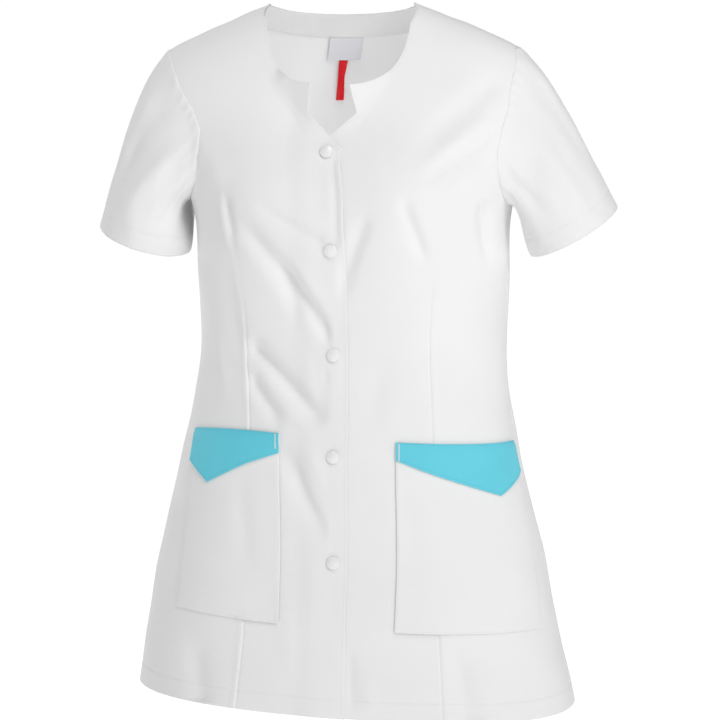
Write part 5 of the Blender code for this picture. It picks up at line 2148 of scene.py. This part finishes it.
    def build_tape(self, top: float) -> None:
        """The red tape: a narrow ribbon with a soft twist on its way down.

        Args:
            top: Height of its upper end.
        """
        depth, arc, half = np.array(self.tape).T
        down = np.linspace(depth[-1], 0.0, 61)[:, None]
        share = np.linspace(-1, 1, 13)
        across = smooth_curve(depth, arc, down) + smooth_curve(depth, half, down) * share
        pattern = np.stack(np.broadcast_arrays(across, top - down), axis=-1)
        fall = down / depth[-1] * math.pi
        gap = INSIDE_GAP + self.tape_twist * (1 + np.sin(fall * 1.1) * share)
        shape = self.inside(pattern, gap + self.tape_bulge * np.sin(fall), TAPE, self.tape_fold_out)
        cut = Cut((0.01, 0.046), 0.0004, Held.HUNG, ["back_cloth"])
        self.shop.sewn("label_tape", shape, RED_SATIN, cut)


@dataclass
class SleevePiece:
    """A sleeve with its hem stitching."""

    sleeve: Sleeve
    front: FrontPanel
    back: BackPanel
    shop: Workshop
    rows: int = 64
    count_round: int = 240
    hem_ply: float = 0.0004
    thread: Thread = field(default_factory=Thread)

    def build(self) -> None:
        """Builds the sleeve as a ring of cloth from the cuff up to the armhole."""
        sleeve = self.sleeve
        outer, normal, cloth = sleeve.surface(self.front, self.back, self.rows, self.count_round)
        to_cuff = cloth[:, :-1, 1] - cloth[-1:, :-1, 1]
        thick = CLOTH + ply_step(to_cuff, sleeve.hem_depth, self.hem_ply)
        inner = outer - normal * thick[..., None]
        cut = Cut((0.4, 0.24), min(cell_area(outer) * 1.12, 0.085), Held.HUNG)
        rows = [self.thread.row(*self.hem_line(outer, normal, to_cuff))]
        if sleeve.side is Side.RIGHT:
            outer, inner, cloth = outer[:, ::-1], inner[:, ::-1], cloth[:, ::-1]
            cloth = np.concatenate([cloth[:, 1:], cloth[:, 1:2] - [cloth[0, 0, 0], 0.0]], axis=1)
        shape = wall(outer[::-1], inner[::-1], cloth[::-1], ring=True)
        self.shop.sewn(f"sleeve_{sleeve.side.word}", shape, WHITE_CLOTH, cut, rows)

    def hem_line(self, outer: Array, normal: Array, to_cuff: Array) -> tuple[Array, Array]:
        """Points and directions of the line that stands one hem depth above the cuff.

        Args:
            outer: The sleeve's outer face.
            normal: Its directions.
            to_cuff: Distance of each point from the cuff.

        Returns:
            Points and directions round the sleeve, closed.
        """
        hem = self.sleeve.hem_depth
        row = (to_cuff > hem).sum(axis=0) - 1
        column = np.append(np.arange(outer.shape[1]), 0)
        row = row[column]
        high, low = to_cuff[row, column], to_cuff[row + 1, column]
        share = ((high - hem) / (high - low))[:, None]
        points, ways = (
            (1 - share) * grid[row, column] + share * grid[row + 1, column]
            for grid in (outer, normal)
        )
        return points + STITCH_OUT * unit(ways), unit(ways)


@dataclass
class Snaps:
    """The five snap caps on the lapped edge: low domes with a rolled rim and a shallow dish."""

    panel: FrontPanel
    shop: Workshop
    heights: tuple[float, ...] = (-0.149, -0.247, -0.3555, -0.46, -0.569)
    radius: float = 0.00675
    segments: int = 64
    # The cap's profile, as shares of its radius and heights above its seat.
    profile: tuple[Point, ...] = (
        (0.8, 0.0), (0.93, 0.0001), (0.985, 0.00045), (1.0, 0.00085), (0.985, 0.0013),
        (0.95, 0.00165), (0.89, 0.00188), (0.83, 0.00196), (0.78, 0.002), (0.72, 0.00212),
        (0.62, 0.00236), (0.5, 0.00262), (0.36, 0.00283), (0.2, 0.00296), (0.08, 0.003),
    )
    pole_share: float = 1.002  # the top's middle, as a share of the last ring's height

    def build(self) -> None:
        """Builds each cap in place of its node."""
        for number, z in enumerate(self.heights, start=1):
            name = f"snap_{number}"
            self.shop.piece(f"{name}_cap", self.cap(z), CAP_PLASTIC, name, name)

    def cap(self, z: float) -> Shape:
        """One cap: the profile carried round the direction of the cloth at its place.

        A ring's points are seat + r(cos q a + sin q b) + h n. At both poles fans of faces with
        four corners, two ring cells each, close the cap.

        Args:
            z: Height of the snap.

        Returns:
            The closed shape.
        """
        seats, normals = self.panel.surface(np.array([[0.0, z]]), LAYER_GAP, False)
        seat, normal = seats[0], normals[0]
        across = unit(np.cross([0.0, 0.0, 1.0], normal))
        shares, levels = np.array(self.profile).T
        turn = np.linspace(0, 2 * math.pi, self.segments, endpoint=False)[:, None]
        rim = np.cos(turn) * across + np.sin(turn) * np.cross(normal, across)
        rings = seat + rim[None] * (shares * self.radius)[:, None, None]
        rings = rings + normal * levels[:, None, None]
        poles = [seat, seat + normal * levels[-1] * self.pole_share]
        points = np.concatenate([rings.reshape(-1, 3), poles])
        index = np.arange(len(shares) * self.segments).reshape(len(shares), self.segments)
        around = (np.arange(0, self.segments, 2) + np.arange(3)[:, None]) % self.segments
        base = np.full_like(around[:1], len(points) - 2)
        low = np.concatenate([base, index[0][around[::-1]]]).T
        high = np.concatenate([base + 1, index[-1][around]]).T
        return Shape(points, np.concatenate([grid_quads(ringed(index)), low, high]))


# ---- studio
@dataclass
class Studio:
    """Pale floor, soft light and the camera."""

    azimuth_deg: float = 6.5
    distance: float = 2.9
    camera_z: float = 0.05
    target_across: float = 0.0185
    target_z: float = -0.376
    focal_px: float = 2762.0
    frame_px: float = 720.0
    sensor: float = 36.0
    clip_end: float = 2000.0
    floor_z: float = -1.45
    floor_half: float = 400.0
    sky: float = 0.22
    middle: Triple = (0.0, 0.0, -0.36)  # where the soft lights point

    def build(self, shop: Workshop) -> None:
        """Sets the floor, the light and the camera.

        Args:
            shop: Keeps the materials.
        """
        self.floor(shop)
        self.lights()
        self.camera()

    def floor(self, shop: Workshop) -> None:
        """A wide level floor far below the hem.

        Args:
            shop: Keeps the materials.
        """
        signs = np.array([(-1, -1, 0), (1, -1, 0), (1, 1, 0), (-1, 1, 0)])
        points = signs * self.floor_half + [0.0, 0.0, self.floor_z]
        floor = Shape(points, np.array([[0, 1, 2, 3]])).build("floor", shop.finish(FLOOR_PAINT))

    def area_light(self, name: str, place: Triple, size: float, watts: float,
                   target: Optional[Triple] = None, spread_deg: float = 180.0) -> None:
        """A square soft light that points at the tunic's middle, or at another place.

        Args:
            name: Its name.
            place: Where it stands.
            size: Its side.
            watts: Its power.
            target: The place that it points at.
            spread_deg: How widely its light fans out.
        """
        data = bpy.data.lights.new(name, "AREA")
        data.shape = "SQUARE"
        data.size = size
        data.energy = watts
        data.spread = math.radians(spread_deg)
        lamp = self.placed(name, data, np.array(place), np.array(target or self.middle))
        lamp.visible_camera = False

    @staticmethod
    def placed(name: str, data: bpy.types.ID, place: Array, target: Array) -> bpy.types.Object:
        """Adds a light or a camera that points from its place at a target, with +Y up.

        Args:
            name: The object's name.
            data: Its light or camera.
            place: Where it stands.
            target: Where its -Z points.

        Returns:
            The object.
        """
        made = bpy.data.objects.new(name, data)
        bpy.context.scene.collection.objects.link(made)
        made.location = place
        made.rotation_euler = Vector((target - place).tolist()).to_track_quat("-Z", "Y").to_euler()
        return made

    def lights(self) -> None:
        """A pale sky, three soft lights, and a small one inside that shows the back's inner side.

        The key stands high in front, toward the wearer's left.
        """
        world = bpy.data.worlds.new("studio")
        bpy.context.scene.world = world
        world.use_nodes = True
        nodes, links = world.node_tree.nodes, world.node_tree.links
        background = nodes["Background"]
        background.inputs["Color"].default_value = (1.0, 1.0, 1.0, 1.0)
        # The sky lights the cloth softly, and shows as white as the floor beyond its edge.
        shown = nodes.new("ShaderNodeMath")
        shown.operation = "MULTIPLY_ADD"
        shown.inputs[1].default_value = 1.0 - self.sky
        shown.inputs[2].default_value = self.sky
        path = nodes.new("ShaderNodeLightPath")
        links.new(path.outputs["Is Camera Ray"], shown.inputs[0])
        links.new(shown.outputs[0], background.inputs["Strength"])
        self.area_light("key", (2.3, -2.7, 1.5), 1.2, 46.0)
        self.area_light("top", (0.4, -1.7, 2.6), 1.6, 36.0)
        self.area_light("rear", (-2.9, 2.3, 1.5), 1.2, 46.0)
        self.area_light("inside", (0.0, -0.01, -0.45), 0.1, 0.125, (0.0, 0.09, -0.07), 70.0)
        bpy.context.scene.view_settings.view_transform = "Standard"

    def camera(self) -> None:
        """The camera at the photograph's angle; its focal length turns pixels to millimetres."""
        turn = math.radians(self.azimuth_deg)
        across = np.array([math.cos(turn), math.sin(turn), 0.0])
        target = across * self.target_across + [0.0, 0.0, self.target_z]
        place = target + np.array([math.sin(turn), -math.cos(turn), 0.0]) * self.distance
        place[2] = self.camera_z
        data = bpy.data.cameras.new("camera")
        data.sensor_width = self.sensor
        data.lens = self.focal_px / self.frame_px * self.sensor
        data.clip_end = self.clip_end
        bpy.context.scene.camera = self.placed("camera", data, place, target)


# Each sleeve's side, its cuff, and the values of its creases.
SLEEVES = (
    (Side.LEFT, Cuff((0.2435, -0.005, -0.2345), 0.0515, 0.06, 28.4, 8.0), (
        (0.2, 0.45, 0.035, 0.4, 0.1, -0.004),
        (0.31, 0.5, 0.03, 0.35, 0.08, 0.003),
        (0.42, 0.4, 0.028, 0.3, 0.05, -0.0025),
        (0.8, 0.5, 0.035, 0.4, -0.08, -0.004),
        (0.67, 0.45, 0.03, 0.35, -0.05, 0.0028),
    )),
    (Side.RIGHT, Cuff((-0.209, -0.008, -0.246), 0.05, 0.06, 17.0, 8.0), (
        (0.18, 0.5, 0.035, 0.4, 0.09, -0.004),
        (0.3, 0.45, 0.032, 0.38, 0.1, 0.0032),
        (0.39, 0.55, 0.028, 0.3, 0.04, -0.0028),
        (0.82, 0.45, 0.035, 0.4, -0.07, -0.0038),
        (0.69, 0.5, 0.03, 0.34, -0.06, 0.0026),
    )),
)


def main() -> None:
    """Builds the tunic's pieces in order, reports each one, and sets the studio."""
    logging.basicConfig(level=logging.INFO, format="%(name)s %(message)s")
    for obj in list(bpy.data.objects):
        bpy.data.objects.remove(obj)
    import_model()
    form = BodyForm()
    shop = Workshop()
    back = BackPanel(form)
    Back(back, shop).build()
    fronts = {side: FrontPanel(side, form) for side in (Side.LEFT, Side.RIGHT)}
    for panel in fronts.values():
        Front(panel, shop).build()
    for side, cuff, creases in SLEEVES:
        sleeve = Sleeve(side, cuff, tuple(SleeveCrease(*row) for row in creases))
        SleevePiece(sleeve, fronts[side], back, shop).build()
    Snaps(fronts[Side.RIGHT], shop).build()
    Studio().build(shop)
    LOG.info("%d pieces", len(shop.made))


if __name__ == "__main__":
    main()
